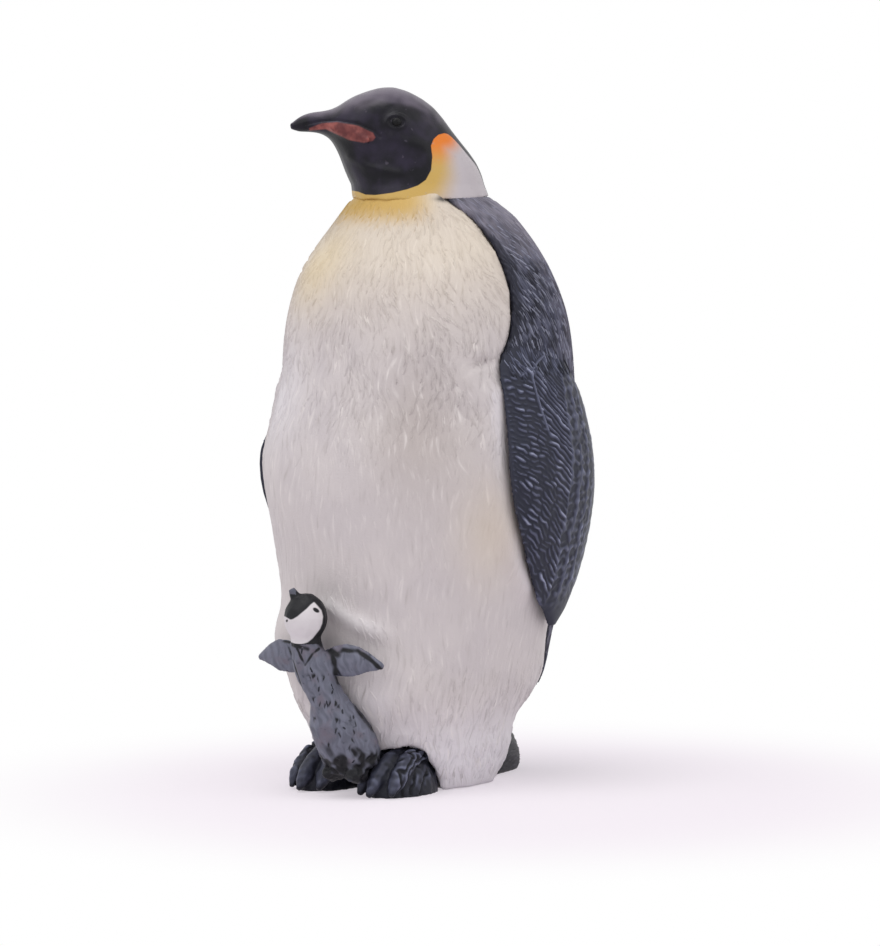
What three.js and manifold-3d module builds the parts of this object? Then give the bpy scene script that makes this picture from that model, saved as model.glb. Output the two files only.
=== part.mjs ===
// Penguin figurine with a chick at its feet: solid PVC mouldings that plug together and are glued.
// Millimetres, +Z up. The adult faces -Y, its left side is +X, and everything stands on z = 0.
import * as THREE from "three";
import { mergeVertices } from "three/addons/utils/BufferGeometryUtils.js";
import Module from "manifold-3d";

const wasm = await Module();
wasm.setup();

// Fits: every glued seam has this clearance all round
const GLUE_GAP = 0.3;
const MANTLE_PROUD = 0.5; // how far the back mantle stands out of the body

// Neck: the seam between the head and the body
const NECK_SEAM_Z = 75.9;
const NECK_RADIUS = 8.6;
const THROAT_BULGE = 0.4; // how far the throat is in front of the neck's circle
const NAPE_STEP = 0.6; // how far the nape is inside that circle
const COLLAR_STEP = 0.8; // how far the collar is in front of that circle
const COLLAR_SIDE_STEP = 0.4; // how far it is outside the circle at both sides
const COLLAR_BACK = NECK_RADIUS - NAPE_STEP - MANTLE_PROUD; // so that the mantle is flush with the nape

// Adult body: its reach from the axis at the widest part, then the height of each level, its half
// width, its depth to the front and to the back, and how square its outline is (2 is an ellipse)
const BODY_HALF_WIDTH = 19.0;
const BELLY_REACH = 19.6;
const BACK_REACH = 18.4;
const RUMP_Z = 11.8;
const BODY_LEVELS = [
  level(0, BODY_HALF_WIDTH - 9.0, BELLY_REACH - 7.1, BACK_REACH - 9.4, 2.4), // hem of the skirt
  level(5, BODY_HALF_WIDTH - 7.4, BELLY_REACH - 3.8, BACK_REACH - 9.2, 2.5), // over the feet
  level(RUMP_Z - 2.0, BODY_HALF_WIDTH - 6.2, BELLY_REACH - 1.3, BACK_REACH - 11.4, 2.5), // above the tail
  level(RUMP_Z, BODY_HALF_WIDTH - 5.0, BELLY_REACH - 0.4, BACK_REACH - 5.8, 2.6), // brood pouch and rump
  level(20, BODY_HALF_WIDTH - 3.1, BELLY_REACH - 0.7, BACK_REACH - 3.6, 2.4), // thighs
  level(30, BODY_HALF_WIDTH - 1.0, BELLY_REACH - 0.4, BACK_REACH - 0.4, 2.3), // belly
  level(40, BODY_HALF_WIDTH, BELLY_REACH, BACK_REACH, 2.3), // widest part
  level(50, BODY_HALF_WIDTH - 0.4, BELLY_REACH - 1.6, BACK_REACH - 0.4, 2.2), // below the breast
  level(NECK_SEAM_Z - 15.9, BODY_HALF_WIDTH - 1.2, BELLY_REACH - 2.8, BACK_REACH - 1.4, 2.2), // breast
  level(NECK_SEAM_Z - 8.9, BODY_HALF_WIDTH - 3.4, BELLY_REACH - 4.7, BACK_REACH - 4.0, 2.1), // shoulders
  level(NECK_SEAM_Z - 3.9, BODY_HALF_WIDTH - 6.7, BELLY_REACH - 8.5, BACK_REACH - 6.4, 2), // base of the neck
  level(NECK_SEAM_Z, NECK_RADIUS + COLLAR_SIDE_STEP, NECK_RADIUS + COLLAR_STEP, COLLAR_BACK, 2.1),
];

// Brood pouch: a fold that swells out of the belly beside the chick's head
const POUCH_TURN = 230; // degrees round from the adult's left (+X), through its back
const POUCH_HALF_SPREAD = 36; // degrees
const POUCH_Z = 19.2;
const POUCH_HALF_HEIGHT = 4.4;
const POUCH_RISE = 1.8;

// Back mantle: a shell let into the back. Its front edge is given as degrees round from the
// adult's left (+X), with the front at -90 and the middle of the back at 90
const MANTLE_DEPTH = 1.2;
const MANTLE_EDGE_BAND = 6; // degrees over which the edge rises to its full height
const MANTLE_EDGE = [
  [RUMP_Z - 0.8, 54], // hem over the tail
  [RUMP_Z + 0.3, 43],
  [RUMP_Z + 2.2, 36],
  [17.5, 31],
  [20, 26],
  [40, 0], // under the flipper
  [NECK_SEAM_Z - 21.2, -22], // armpit
  [NECK_SEAM_Z - 18.2, -16],
  [NECK_SEAM_Z - 13.2, -11.5], // shoulder
  [NECK_SEAM_Z - 9.2, -11.5],
  [NECK_SEAM_Z - 5.4, -14.5],
  [NECK_SEAM_Z - 2.2, -23],
  [NECK_SEAM_Z, -36],
];
const MANTLE_PEG_HEIGHTS = [28, 58];
const MANTLE_PEG_RADIUS = 1.6;
const MANTLE_PEG_LENGTH = 3;

// Flippers: paddles that lie along the flanks, their front edges a little off the body. Edges in
// degrees round from +X, as above
const FLIPPER_THICKNESS = 2.2;
const FLIPPER_EDGE_THICKNESS = 0.7;
const FLIPPER_STAND_OFF = 1.0;
const FLIPPER_FRONT_EDGE = [
  [20.8, 10],
  [23.2, 2.5],
  [27, -5],
  [31.6, -12],
  [36.2, -18],
  [41.4, -21.5],
  [47, -22.5],
  [52, -23.5],
  [54.6, -24], // armpit
  [56.6, -19],
  [58.6, -10],
  [61, 1],
];
const FLIPPER_REAR_EDGE = [
  [20.8, 14],
  [23.2, 24],
  [27, 32],
  [31.6, 36],
  [36.2, 38],
  [41.4, 38],
  [46, 37],
  [49.5, 33],
  [52, 23],
  [56, 14],
  [61, 8],
];
const FLIPPER_FULLNESS = [
  [0, 0.15], // tip
  [0.2, 0.6],
  [0.4, 1],
  [0.58, 0.95],
  [0.74, 0.45],
  [0.87, 0.15],
  [1, 0], // shoulder
];
const FLIPPER_PEG_Z = 50;
const FLIPPER_PEG_ANGLE = 6;
const FLIPPER_PEG_RADIUS = 1.8;
const FLIPPER_PEG_LENGTH = 5;

// Head: sections fanned from the throat to the beak's tip. Each runs from the lower outline to
// the upper one, both as (forward, up) from the neck's centre, with its half width
const HEAD_TURN = 50; // degrees to the adult's right
const HEAD_SECTIONS = [
  { lower: [NECK_RADIUS + THROAT_BULGE, 0], upper: [NAPE_STEP - NECK_RADIUS, 0], width: NECK_RADIUS }, // seam
  { lower: [10.2, 2.5], upper: [-6.9, 3.6], width: 7.6 }, // middle of the neck
  { lower: [11.1, 4.9], upper: [-3.9, 7.6], width: 6.8 }, // cheeks
  { lower: [11.8, 6.3], upper: [-0.6, 11.6], width: 6.3 }, // back of the skull
  { lower: [12.3, 7.0], upper: [4.2, 13.8], width: 5.6 }, // crown
  { lower: [13.0, 7.5], upper: [8.9, 12.7], width: 3.9 }, // brow
  { lower: [13.9, 7.85], upper: [11.8, 11.0], width: 2.4 }, // base of the beak
  { lower: [15.4, 8.05], upper: [14.7, 10.45], width: 1.5 }, // middle of the beak
  { lower: [16.5, 8.1], upper: [16.3, 9.75], width: 0.9 }, // behind the beak's tip
  { lower: [17.2, 8.4], upper: [17.3, 8.95], width: 0.35 }, // tip of the beak
];
const HEAD_SQUARE = 2.2;
const EYE_PLACE = [4.05, 9.3];
const EYE_RIM_LENGTH = 2.8;
const EYE_RIM_HEIGHT = 1.7;
const EYE_RIM_THICKNESS = 0.5;
const EYEBALL_RADIUS = 0.7;
const MANDIBLE_PLATE_PLACE = [10.0, 7.75];
const MANDIBLE_PLATE_LENGTH = 6.6;
const MANDIBLE_PLATE_HEIGHT = 1.7;
const MANDIBLE_PLATE_THICKNESS = 0.9;
const MANDIBLE_PLATE_SLOPE = 17; // degrees, rising towards the beak's tip
const NECK_SPIGOT_LENGTH = 6;
const NECK_SPIGOT_HALF_DEPTH = 5.2; // oval, so that the head can't be glued in turned
const NECK_SPIGOT_HALF_WIDTH = 4.2;

// Feet: a pad with three clawed toes and a tenon that goes in under the belly
const FOOT_SPACING = 11.2; // between the middles of the two feet
const FOOT_PAD_LENGTH = 12.0;
const FOOT_PAD_WIDTH = 7.4;
const FOOT_PAD_HEIGHT = 6.0;
const FOOT_PAD_BACK = BELLY_REACH - 13.1; // from the adult's axis forward to the pad's back end
const TOE_RADIUS = 1.25;
const CLAW_RADIUS = 0.35;
const TOE_REACH = [BELLY_REACH - 1.0, BELLY_REACH + 0.2, BELLY_REACH - 1.4]; // inner to outer claw
const TOE_SPREAD = [-2.3, 0, 2.3]; // sideways from the foot's middle, at the claws
const FOOT_TENON_RADIUS = 1.8;
const FOOT_TENON_LENGTH = 4;

// Tail: a short flat wedge under the mantle's hem that props the figure on its tip
const TAIL_TOP_Z = 10.4;
const TAIL_REACH = BACK_REACH - 1.2; // from the adult's axis back to the tail's tip
const TAIL_ROOT_HALF_WIDTH = 6.4;
const TAIL_TIP_HALF_WIDTH = 2.9;
const TAIL_TIP_HEIGHT = 2.2;
const TAIL_PEG_RADIUS = 1.5;
const TAIL_PEG_LENGTH = 4;
const TAIL_PEG_Z = 4;

// Chick: one moulding that stands on the adult's feet and leans out over the belly. Each place on
// its spine has a height, a sideways place, how far it is in front of the belly, and a radius
const CHICK_SPINE = [
  { z: 4.2, x: 2.3, ahead: 2.4, radius: 3.5 }, // seat, on the adult's feet
  { z: 6.8, x: 2.1, ahead: 2.4, radius: 3.85 }, // hips
  { z: 10.0, x: 1.25, ahead: 2.4, radius: 3.4 }, // belly
  { z: 12.9, x: 0.75, ahead: 2.5, radius: 2.25 }, // waist
  { z: 16.4, x: -1.1, ahead: 3.0, radius: 2.5 }, // shoulders
  { z: 19.4, x: -1.9, ahead: 3.6, radius: 2.0 }, // neck
];
const CHICK_HEAD_PLACE = { z: 22.85, x: -1.9, ahead: 3.7 };
const CHICK_HEAD_WIDTH = 5.6;
const CHICK_HEAD_DEPTH = 5.6;
const CHICK_HEAD_HEIGHT = 6.5;
const CHICK_BEAK_LENGTH = 0.9; // outside the head
const CHICK_BEAK_RADIUS = 0.75;
const CHICK_FLIPPER_LENGTH = 9.8; // from the spine to the tip
const CHICK_FLIPPER_CHORD = 4.2;
const CHICK_FLIPPER_THICKNESS = 1.4;
const CHICK_FLIPPER_ARCH = 1.0; // how far its middle is above the line from shoulder to tip
const CHICK_FLIPPER_RISE = 0.7; // how far the tip is above the shoulder
const CHICK_FLIPPER_SWEEP = 1.6; // how far the tip is behind the shoulder
const CHICK_FOOT_LENGTH = 4.4;
const CHICK_FOOT_WIDTH = 2.4;
const CHICK_FOOT_HEIGHT = 2.2;
const CHICK_PEG_RADIUS = 1.2;
const CHICK_PEG_DEPTH = 3;
const CHICK_PEG_Z = 9.4;

// Mesh fineness
const BODY_SEGMENTS = 36;
const BODY_RINGS = 30;
const HEAD_SEGMENTS = 24;
const HEAD_RINGS = 25;
const MANTLE_ROWS = 26;
const MANTLE_COLUMNS = 16;
const FLIPPER_ROWS = 20;
const FLIPPER_COLUMNS = 9;
const ROUND_SEGMENTS = 14;
const PAST = 2; // how far a cutting solid runs past the face that it cuts

const UP = new THREE.Vector3(0, 0, 1);
const radians = THREE.MathUtils.degToRad;

// A smooth function through the given (x, y) points, level beyond both ends
function smoothCurve(points) {
  const last = points.length - 1;
  const slopes = points.map((point, i) => {
    const before = points[Math.max(i - 1, 0)];
    const after = points[Math.min(i + 1, last)];
    return (after[1] - before[1]) / (after[0] - before[0]);
  });
  return (x) => {
    const inside = Math.min(Math.max(x, points[0][0]), points[last][0]);
    const next = points.findIndex((point) => point[0] >= inside);
    const i = Math.max(next - 1, 0);
    const span = points[i + 1][0] - points[i][0];
    const t = (inside - points[i][0]) / span;
    const bend = t * (1 - t) * span;
    const ease = t * t * (3 - 2 * t);
    const straight = points[i][1] + (points[i + 1][1] - points[i][1]) * ease;
    return straight + bend * (slopes[i] * (1 - t) - slopes[i + 1] * t);
  };
}

// Joins rings of points, in order, into one closed skin with a flat fan over each end
function loft(rings) {
  const count = rings[0].length;
  const points = rings.flat();
  const index = [];
  for (let r = 0; r + 1 < rings.length; r++) {
    for (let s = 0; s < count; s++) {
      const a = r * count + s;
      const b = r * count + ((s + 1) % count);
      index.push(a, b, b + count, a, b + count, a + count);
    }
  }
  for (const end of [0, rings.length - 1]) {
    const middle = new THREE.Vector3();
    rings[end].forEach((point) => middle.addScaledVector(point, 1 / count));
    const centre = points.push(middle) - 1;
    for (let s = 0; s < count; s++) {
      const a = end * count + s;
      const b = end * count + ((s + 1) % count);
      index.push(...(end === 0 ? [centre, b, a] : [centre, a, b]));
    }
  }
  const geometry = new THREE.BufferGeometry().setFromPoints(points);
  geometry.setIndex(index);
  return geometry;
}

// A closed mesh as a solid, turned right side out if its winding came out mirrored
function solid(geometry) {
  const bare = geometry.clone();
  bare.deleteAttribute("normal");
  bare.deleteAttribute("uv");
  const merged = mergeVertices(bare, 1e-4);
  const triVerts = new Uint32Array(merged.index.array);
  const vertProperties = new Float32Array(merged.attributes.position.array);
  const made = new wasm.Manifold(new wasm.Mesh({ numProp: 3, vertProperties, triVerts }));
  if (made.volume() > 0) return made;
  for (let i = 0; i < triVerts.length; i += 3) {
    [triVerts[i + 1], triVerts[i + 2]] = [triVerts[i + 2], triVerts[i + 1]];
  }
  return new wasm.Manifold(new wasm.Mesh({ numProp: 3, vertProperties, triVerts }));
}

// A solid as three.js geometry
function geometryOf(shape) {
  const mesh = shape.getMesh();
  const geometry = new THREE.BufferGeometry();
  geometry.setAttribute("position", new THREE.BufferAttribute(mesh.vertProperties, 3));
  geometry.setIndex(new THREE.BufferAttribute(mesh.triVerts, 1));
  geometry.computeVertexNormals();
  return geometry;
}

// A round peg from one point towards another direction, as a solid
function peg(start, direction, radius, length) {
  const geometry = new THREE.CylinderGeometry(radius, radius, length, ROUND_SEGMENTS);
  geometry.translate(0, length / 2, 0);
  const turn = new THREE.Quaternion();
  turn.setFromUnitVectors(new THREE.Vector3(0, 1, 0), direction.clone().normalize());
  geometry.applyQuaternion(turn);
  geometry.translate(start.x, start.y, start.z);
  return solid(geometry);
}

// A tapering limb: oval sections along a smooth spine. size(t) gives the half width across
// the level direction and the half height across the other one
function limb(spinePoints, size, rings, segments = ROUND_SEGMENTS, level = UP) {
  const spine = new THREE.CatmullRomCurve3(spinePoints);
  const sections = [];
  for (let r = 0; r <= rings; r++) {
    const t = r / rings;
    const along = spine.getTangent(t);
    const across = new THREE.Vector3().crossVectors(along, level).normalize();
    const rise = new THREE.Vector3().crossVectors(across, along);
    const centre = spine.getPoint(t);
    const [halfWidth, halfHeight] = size(t);
    sections.push(
      Array.from({ length: segments }, (_, s) => {
        const angle = (s / segments) * 2 * Math.PI;
        return centre
          .clone()
          .addScaledVector(across, halfWidth * Math.cos(angle))
          .addScaledVector(rise, halfHeight * Math.sin(angle));
      }),
    );
  }
  return solid(loft(sections));
}

// A ball squashed to three half sizes, turned and placed by a matrix
function ellipsoid(halfSizes, matrix, segments = ROUND_SEGMENTS) {
  const geometry = new THREE.SphereGeometry(1, segments, segments / 2);
  geometry.scale(...halfSizes);
  geometry.applyMatrix4(matrix);
  return solid(geometry);
}

// Cuts off whatever reaches below the surface that the figure stands on
function standOnGround(shape) {
  const size = 200;
  const ground = new THREE.BoxGeometry(size, size, size).translate(0, 0, -size / 2);
  return shape.subtract(solid(ground));
}

// Body surface
function level(z, side, front, back, square) {
  return { z, side, front, back, square };
}

const outlineOf = (key) => smoothCurve(BODY_LEVELS.map((row) => [row.z, row[key]]));
const bodySide = outlineOf("side");
const bodyFront = outlineOf("front");
const bodyBack = outlineOf("back");
const bodySquare = outlineOf("square");

// The point on the body at an angle round from +X and a height, moved outwards by some distance
function bodyPoint(degrees, z, out = 0) {
  const cos = Math.cos(radians(degrees));
  const sin = Math.sin(radians(degrees));
  const power = 2 / bodySquare(z);
  const depth = sin < 0 ? bodyFront(z) : bodyBack(z);
  return new THREE.Vector3(
    Math.sign(cos) * Math.abs(cos) ** power * (bodySide(z) + out),
    Math.sign(sin) * Math.abs(sin) ** power * (depth + out),
    z,
  );
}

// How far the pouch's fold stands out there
function pouchRise(degrees, z) {
  const swell = (offset, half) => Math.max(0, 1 - (offset / half) ** 2) ** 1.5;
  return POUCH_RISE * swell(degrees - POUCH_TURN, POUCH_HALF_SPREAD) * swell(z - POUCH_Z, POUCH_HALF_HEIGHT);
}

// The horizontal direction that the body's surface faces at that place
function bodyNormal(degrees, z) {
  const step = 0.5;
  const along = bodyPoint(degrees + step, z).sub(bodyPoint(degrees - step, z));
  return along.cross(UP).normalize();
}

// Heights from one to another, closer together towards the first if the crowding is above 1
function spacedHeights(bottom, top, count, crowding = 1.2) {
  const share = (i) => (i / count) ** crowding;
  return Array.from({ length: count + 1 }, (_, i) => bottom + (top - bottom) * share(i));
}

// The whole body's outer form, grown outwards by some distance
function bodyForm(out = 0) {
  return solid(
    loft(
      spacedHeights(0, NECK_SEAM_Z, BODY_RINGS).map((z) =>
        Array.from({ length: BODY_SEGMENTS }, (_, s) => {
          const degrees = (s / BODY_SEGMENTS) * 360;
          return bodyPoint(degrees, z, out + pouchRise(degrees, z));
        }),
      ),
    ),
  );
}

// A panel that follows the body's surface: reach(z) gives its two edges in degrees, and
// skin(share across, z) how far its inner and outer faces stand off the body
function wrappedPanel({ heights, columns, reach, skin }) {
  const sections = heights.map((z) => {
    const [from, to] = reach(z);
    const place = (c, face) => {
      const across = c / columns;
      return bodyPoint(from + (to - from) * across, z, skin(across, z)[face]);
    };
    const outer = Array.from({ length: columns + 1 }, (_, c) => place(c, 1));
    const inner = Array.from({ length: columns + 1 }, (_, c) => place(columns - c, 0));
    return [...outer, ...inner];
  });
  return closedPanel(sections);
}

// Joins a panel's rows into a closed skin, with its end rows closed as strips
function closedPanel(sections) {
  const count = sections[0].length;
  const points = sections.flat();
  const index = [];
  for (let r = 0; r + 1 < sections.length; r++) {
    for (let s = 0; s < count; s++) {
      const a = r * count + s;
      const b = r * count + ((s + 1) % count);
      index.push(a, b, b + count, a, b + count, a + count);
    }
  }
  for (const end of [0, sections.length - 1]) {
    for (let s = 0; s + 1 < count / 2; s++) {
      const a = end * count + s;
      const b = a + 1;
      const c = end * count + count - 2 - s;
      const d = c + 1;
      index.push(...(end === 0 ? [a, d, b, b, d, c] : [a, b, d, b, c, d]));
    }
  }
  const geometry = new THREE.BufferGeometry().setFromPoints(points);
  geometry.setIndex(index);
  return solid(geometry);
}

// Back mantle, or with a clearance the rebate that it lies in
const mantleEdge = smoothCurve(MANTLE_EDGE);
function mantleShell(clearance = 0) {
  const hem = MANTLE_EDGE[0][0];
  const heights = spacedHeights(hem, NECK_SEAM_Z, MANTLE_ROWS);
  const widen = (z) => clearance / (radians(1) * bodySide(Math.min(z, NECK_SEAM_Z)));
  const rise = (across) => {
    const fromEdge = Math.min(across, 1 - across) * (180 / MANTLE_EDGE_BAND);
    return MANTLE_PROUD * Math.min(1, 0.3 + 0.7 * fromEdge);
  };
  return wrappedPanel({
    heights: clearance > 0 ? [hem - clearance, ...heights, NECK_SEAM_Z + PAST] : heights,
    columns: MANTLE_COLUMNS,
    reach: (z) => {
      const edge = mantleEdge(z) - widen(z);
      return [edge, 180 - edge];
    },
    skin: (across) => [-MANTLE_DEPTH - clearance, clearance > 0 ? PAST : rise(across)],
  });
}

function mantlePegs(clearance = 0) {
  const inward = new THREE.Vector3(0, -1, 0);
  return MANTLE_PEG_HEIGHTS.map((z) => {
    const start = bodyPoint(90, z, -MANTLE_DEPTH / 2);
    const length = MANTLE_PEG_LENGTH + MANTLE_DEPTH / 2 + clearance;
    return peg(start, inward, MANTLE_PEG_RADIUS + clearance, length);
  });
}

// Flippers: side is 1 for the adult's left and -1 for its right
const flipperFront = smoothCurve(FLIPPER_FRONT_EDGE);
const flipperRear = smoothCurve(FLIPPER_REAR_EDGE);
const flipperFullness = smoothCurve(FLIPPER_FULLNESS);
const FLIPPER_SEAT = MANTLE_PROUD + GLUE_GAP; // how far its inner face stands off the body
const ownSide = (side, degrees) => (side > 0 ? degrees : 180 - degrees);

function flipperPeg(side, clearance = 0) {
  const angle = ownSide(side, FLIPPER_PEG_ANGLE);
  const start = bodyPoint(angle, FLIPPER_PEG_Z, FLIPPER_SEAT + FLIPPER_EDGE_THICKNESS);
  const inward = bodyNormal(angle, FLIPPER_PEG_Z).negate();
  return peg(start, inward, FLIPPER_PEG_RADIUS + clearance, FLIPPER_PEG_LENGTH + clearance);
}

function flipper(side) {
  const tip = FLIPPER_FRONT_EDGE[0][0];
  const shoulder = FLIPPER_FRONT_EDGE.at(-1)[0];
  const blade = wrappedPanel({
    heights: spacedHeights(tip, shoulder, FLIPPER_ROWS, 1),
    columns: FLIPPER_COLUMNS,
    reach: (z) => [ownSide(side, flipperFront(z)), ownSide(side, flipperRear(z))],
    skin: (across, z) => {
      const up = (z - tip) / (shoulder - tip);
      const crown = 1 - Math.abs(2 * across ** 0.8 - 1) ** 2.5;
      const ends = flipperFullness(up);
      const thin = FLIPPER_EDGE_THICKNESS * Math.min(1, 0.3 + 1.5 * (1 - up));
      const thick = thin + (FLIPPER_THICKNESS - thin) * crown * ends;
      const seat = FLIPPER_SEAT + FLIPPER_STAND_OFF * (1 - across) ** 1.5 * ends ** 2;
      return [seat, seat + thick];
    },
  });
  return blade.add(flipperPeg(side));
}

// Head, in its own frame: forward is -Y and the neck's centre is the origin
const headOutline = (key) => new THREE.SplineCurve(
  HEAD_SECTIONS.map((section) => new THREE.Vector2(...section[key])),
);
const headLower = headOutline("lower");
const headUpper = headOutline("upper");
const headWidth = smoothCurve(
  HEAD_SECTIONS.map((section, i) => [i / (HEAD_SECTIONS.length - 1), section.width]),
);

function headForm() {
  const power = 2 / HEAD_SQUARE;
  const rings = [];
  for (let r = 0; r <= HEAD_RINGS; r++) {
    const t = r / HEAD_RINGS;
    const low = headLower.getPoint(t);
    const high = headUpper.getPoint(t);
    rings.push(
      Array.from({ length: HEAD_SEGMENTS }, (_, s) => {
        const angle = (s / HEAD_SEGMENTS) * 2 * Math.PI;
        const cos = Math.cos(angle);
        const sin = Math.sin(angle);
        const share = (1 + Math.sign(cos) * Math.abs(cos) ** power) / 2;
        const place = low.clone().lerp(high, share);
        const x = Math.sign(sin) * Math.abs(sin) ** power * headWidth(t);
        return new THREE.Vector3(x, -place.x, place.y);
      }),
    );
  }
  return solid(loft(rings));
}

// Half width of the head at a place in its side view
function headHalfWidth([forward, up]) {
  const place = new THREE.Vector2(forward, up);
  let best = { miss: Infinity, halfWidth: 0 };
  const steps = 200;
  for (let i = 0; i <= steps; i++) {
    const low = headLower.getPoint(i / steps);
    const line = headUpper.getPoint(i / steps).sub(low);
    const share = place.clone().sub(low).dot(line) / line.lengthSq();
    const miss = low.addScaledVector(line, share).distanceTo(place);
    const middle = Math.min(1, Math.abs(2 * share - 1));
    const halfWidth = headWidth(i / steps) * (1 - middle ** HEAD_SQUARE) ** (1 / HEAD_SQUARE);
    if (miss < best.miss) best = { miss, halfWidth };
  }
  return best.halfWidth;
}

const onHeadSide = (side, place, out = 0) =>
  new THREE.Vector3(side * (headHalfWidth(place) + out), -place[0], place[1]);

// A raised rim round each eyeball
function eye(side) {
  const rim = new THREE.TorusGeometry(1, EYE_RIM_THICKNESS / EYE_RIM_LENGTH, 5, ROUND_SEGMENTS);
  rim.scale(EYE_RIM_LENGTH / 2, EYE_RIM_HEIGHT / 2, EYE_RIM_LENGTH / 2);
  rim.rotateX(Math.PI / 2);
  rim.rotateZ(Math.PI / 2);
  const place = onHeadSide(side, EYE_PLACE);
  rim.translate(place.x, place.y, place.z);
  const ball = new THREE.Matrix4().makeTranslation(place);
  return solid(rim).add(ellipsoid([EYEBALL_RADIUS, EYEBALL_RADIUS, EYEBALL_RADIUS], ball, 12));
}

// The coloured plate along each side of the lower beak
function mandiblePlate(side) {
  const place = onHeadSide(side, MANDIBLE_PLATE_PLACE, -MANDIBLE_PLATE_THICKNESS / 4);
  const narrowing = Math.atan2(
    headHalfWidth([MANDIBLE_PLATE_PLACE[0] - 1, MANDIBLE_PLATE_PLACE[1]])
      - headHalfWidth([MANDIBLE_PLATE_PLACE[0] + 1, MANDIBLE_PLATE_PLACE[1]]),
    2,
  );
  const turn = new THREE.Euler(-radians(MANDIBLE_PLATE_SLOPE), 0, -side * narrowing, "ZXY");
  const matrix = new THREE.Matrix4().makeRotationFromEuler(turn).setPosition(place);
  const halves = [MANDIBLE_PLATE_THICKNESS, MANDIBLE_PLATE_LENGTH, MANDIBLE_PLATE_HEIGHT];
  return ellipsoid(halves.map((size) => size / 2), matrix, 12);
}

// Spigot from its lower end up through the seam, which is at z = 0 here
function neckSpigot(clearance = 0) {
  const below = NECK_SPIGOT_LENGTH + clearance;
  const geometry = new THREE.CylinderGeometry(1, 1, below + PAST, ROUND_SEGMENTS * 2);
  geometry.rotateX(Math.PI / 2);
  geometry.scale(NECK_SPIGOT_HALF_WIDTH + clearance, NECK_SPIGOT_HALF_DEPTH + clearance, 1);
  geometry.translate(0, 0, (PAST - below) / 2);
  return geometry;
}

// Feet
const footX = (side) => (side * FOOT_SPACING) / 2;

function toe(side, which, clearance = 0) {
  const middle = footX(side);
  const sideways = side * TOE_SPREAD[which];
  const knuckle = TOE_RADIUS;
  const reach = TOE_REACH[which];
  const back = FOOT_PAD_BACK + FOOT_PAD_LENGTH / 3;
  const high = FOOT_PAD_HEIGHT - knuckle;
  const spine = [
    new THREE.Vector3(middle + sideways * 0.6, -back, high),
    new THREE.Vector3(middle + sideways * 0.85, -(back + (reach - back) * 0.45), high * 0.95),
    new THREE.Vector3(middle + sideways, -(back + (reach - back) * 0.8), high * 0.5),
    new THREE.Vector3(middle + sideways, -reach, CLAW_RADIUS),
  ];
  const size = smoothCurve([
    [0, knuckle],
    [0.45, knuckle],
    [0.75, knuckle * 0.85],
    [1, CLAW_RADIUS],
  ]);
  return limb(spine, (t) => [size(t) + clearance, size(t) + clearance], 8, 10);
}

function foot(side, clearance = 0) {
  const middle = new THREE.Vector3(footX(side), -(FOOT_PAD_BACK + FOOT_PAD_LENGTH / 2), 0);
  const pad = ellipsoid(
    [FOOT_PAD_WIDTH / 2, FOOT_PAD_LENGTH / 2, FOOT_PAD_HEIGHT].map((size) => size + clearance),
    new THREE.Matrix4().makeTranslation(middle),
  );
  const tenonStart = new THREE.Vector3(middle.x, -(FOOT_PAD_BACK + PAST), FOOT_PAD_HEIGHT / 2);
  const tenonLength = FOOT_TENON_LENGTH + PAST + clearance;
  const tenon = peg(tenonStart, new THREE.Vector3(0, 1, 0), FOOT_TENON_RADIUS + clearance, tenonLength);
  const toes = TOE_REACH.map((reach, which) => toe(side, which, clearance));
  return toes.reduce((joined, next) => joined.add(next), pad.add(tenon));
}

// Tail
function tailPeg(clearance = 0) {
  const start = new THREE.Vector3(0, bodyBack(TAIL_PEG_Z) + PAST, TAIL_PEG_Z);
  const length = TAIL_PEG_LENGTH + PAST + clearance;
  return peg(start, new THREE.Vector3(0, -1, 0), TAIL_PEG_RADIUS + clearance, length);
}

function tail() {
  const rootY = bodyBack(TAIL_PEG_Z) - PAST;
  const sunk = 0.3; // share of each section's height at which its widest line lies
  const roundFrom = 0.75; // where along the tail its tip starts to round off
  const taper = smoothCurve([
    [0, 1],
    [0.45, 0.62],
    [0.85, 0.12],
    [1, 0],
  ]);
  const height = (t) => THREE.MathUtils.lerp(TAIL_TIP_HEIGHT, TAIL_TOP_Z, taper(t));
  const halfWidth = (t) => THREE.MathUtils.lerp(TAIL_TIP_HALF_WIDTH, TAIL_ROOT_HALF_WIDTH, taper(t));
  const fullness = (t) => Math.sqrt(1 - Math.max(0, (t - roundFrom) / (1.02 - roundFrom)) ** 2);
  const spine = [0, 0.45, 0.85, 1].map((t) => new THREE.Vector3(
    0,
    THREE.MathUtils.lerp(rootY, TAIL_REACH, t),
    height(t) * sunk,
  ));
  const size = (t) => [halfWidth(t) * fullness(t), height(t) * (1 - sunk) * fullness(t)];
  return limb(spine, size, 12, 18);
}

// Chick
const chickPlace = ({ z, x, ahead }) => new THREE.Vector3(x, -(bodyFront(z) + GLUE_GAP + ahead), z);
const chickSpine = CHICK_SPINE.map(chickPlace);
const chickHead = chickPlace(CHICK_HEAD_PLACE);
const chickShoulder = chickSpine.at(-2);

function chickTorso() {
  const shares = CHICK_SPINE.map((place, i) => [i / CHICK_SPINE.length, place.radius]);
  const radius = smoothCurve([...shares, [1, CHICK_SPINE.at(-1).radius]]);
  const size = (t) => [radius(t), radius(t)];
  return limb([...chickSpine, chickHead], size, 14, ROUND_SEGMENTS, new THREE.Vector3(0, 1, 0));
}

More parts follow.
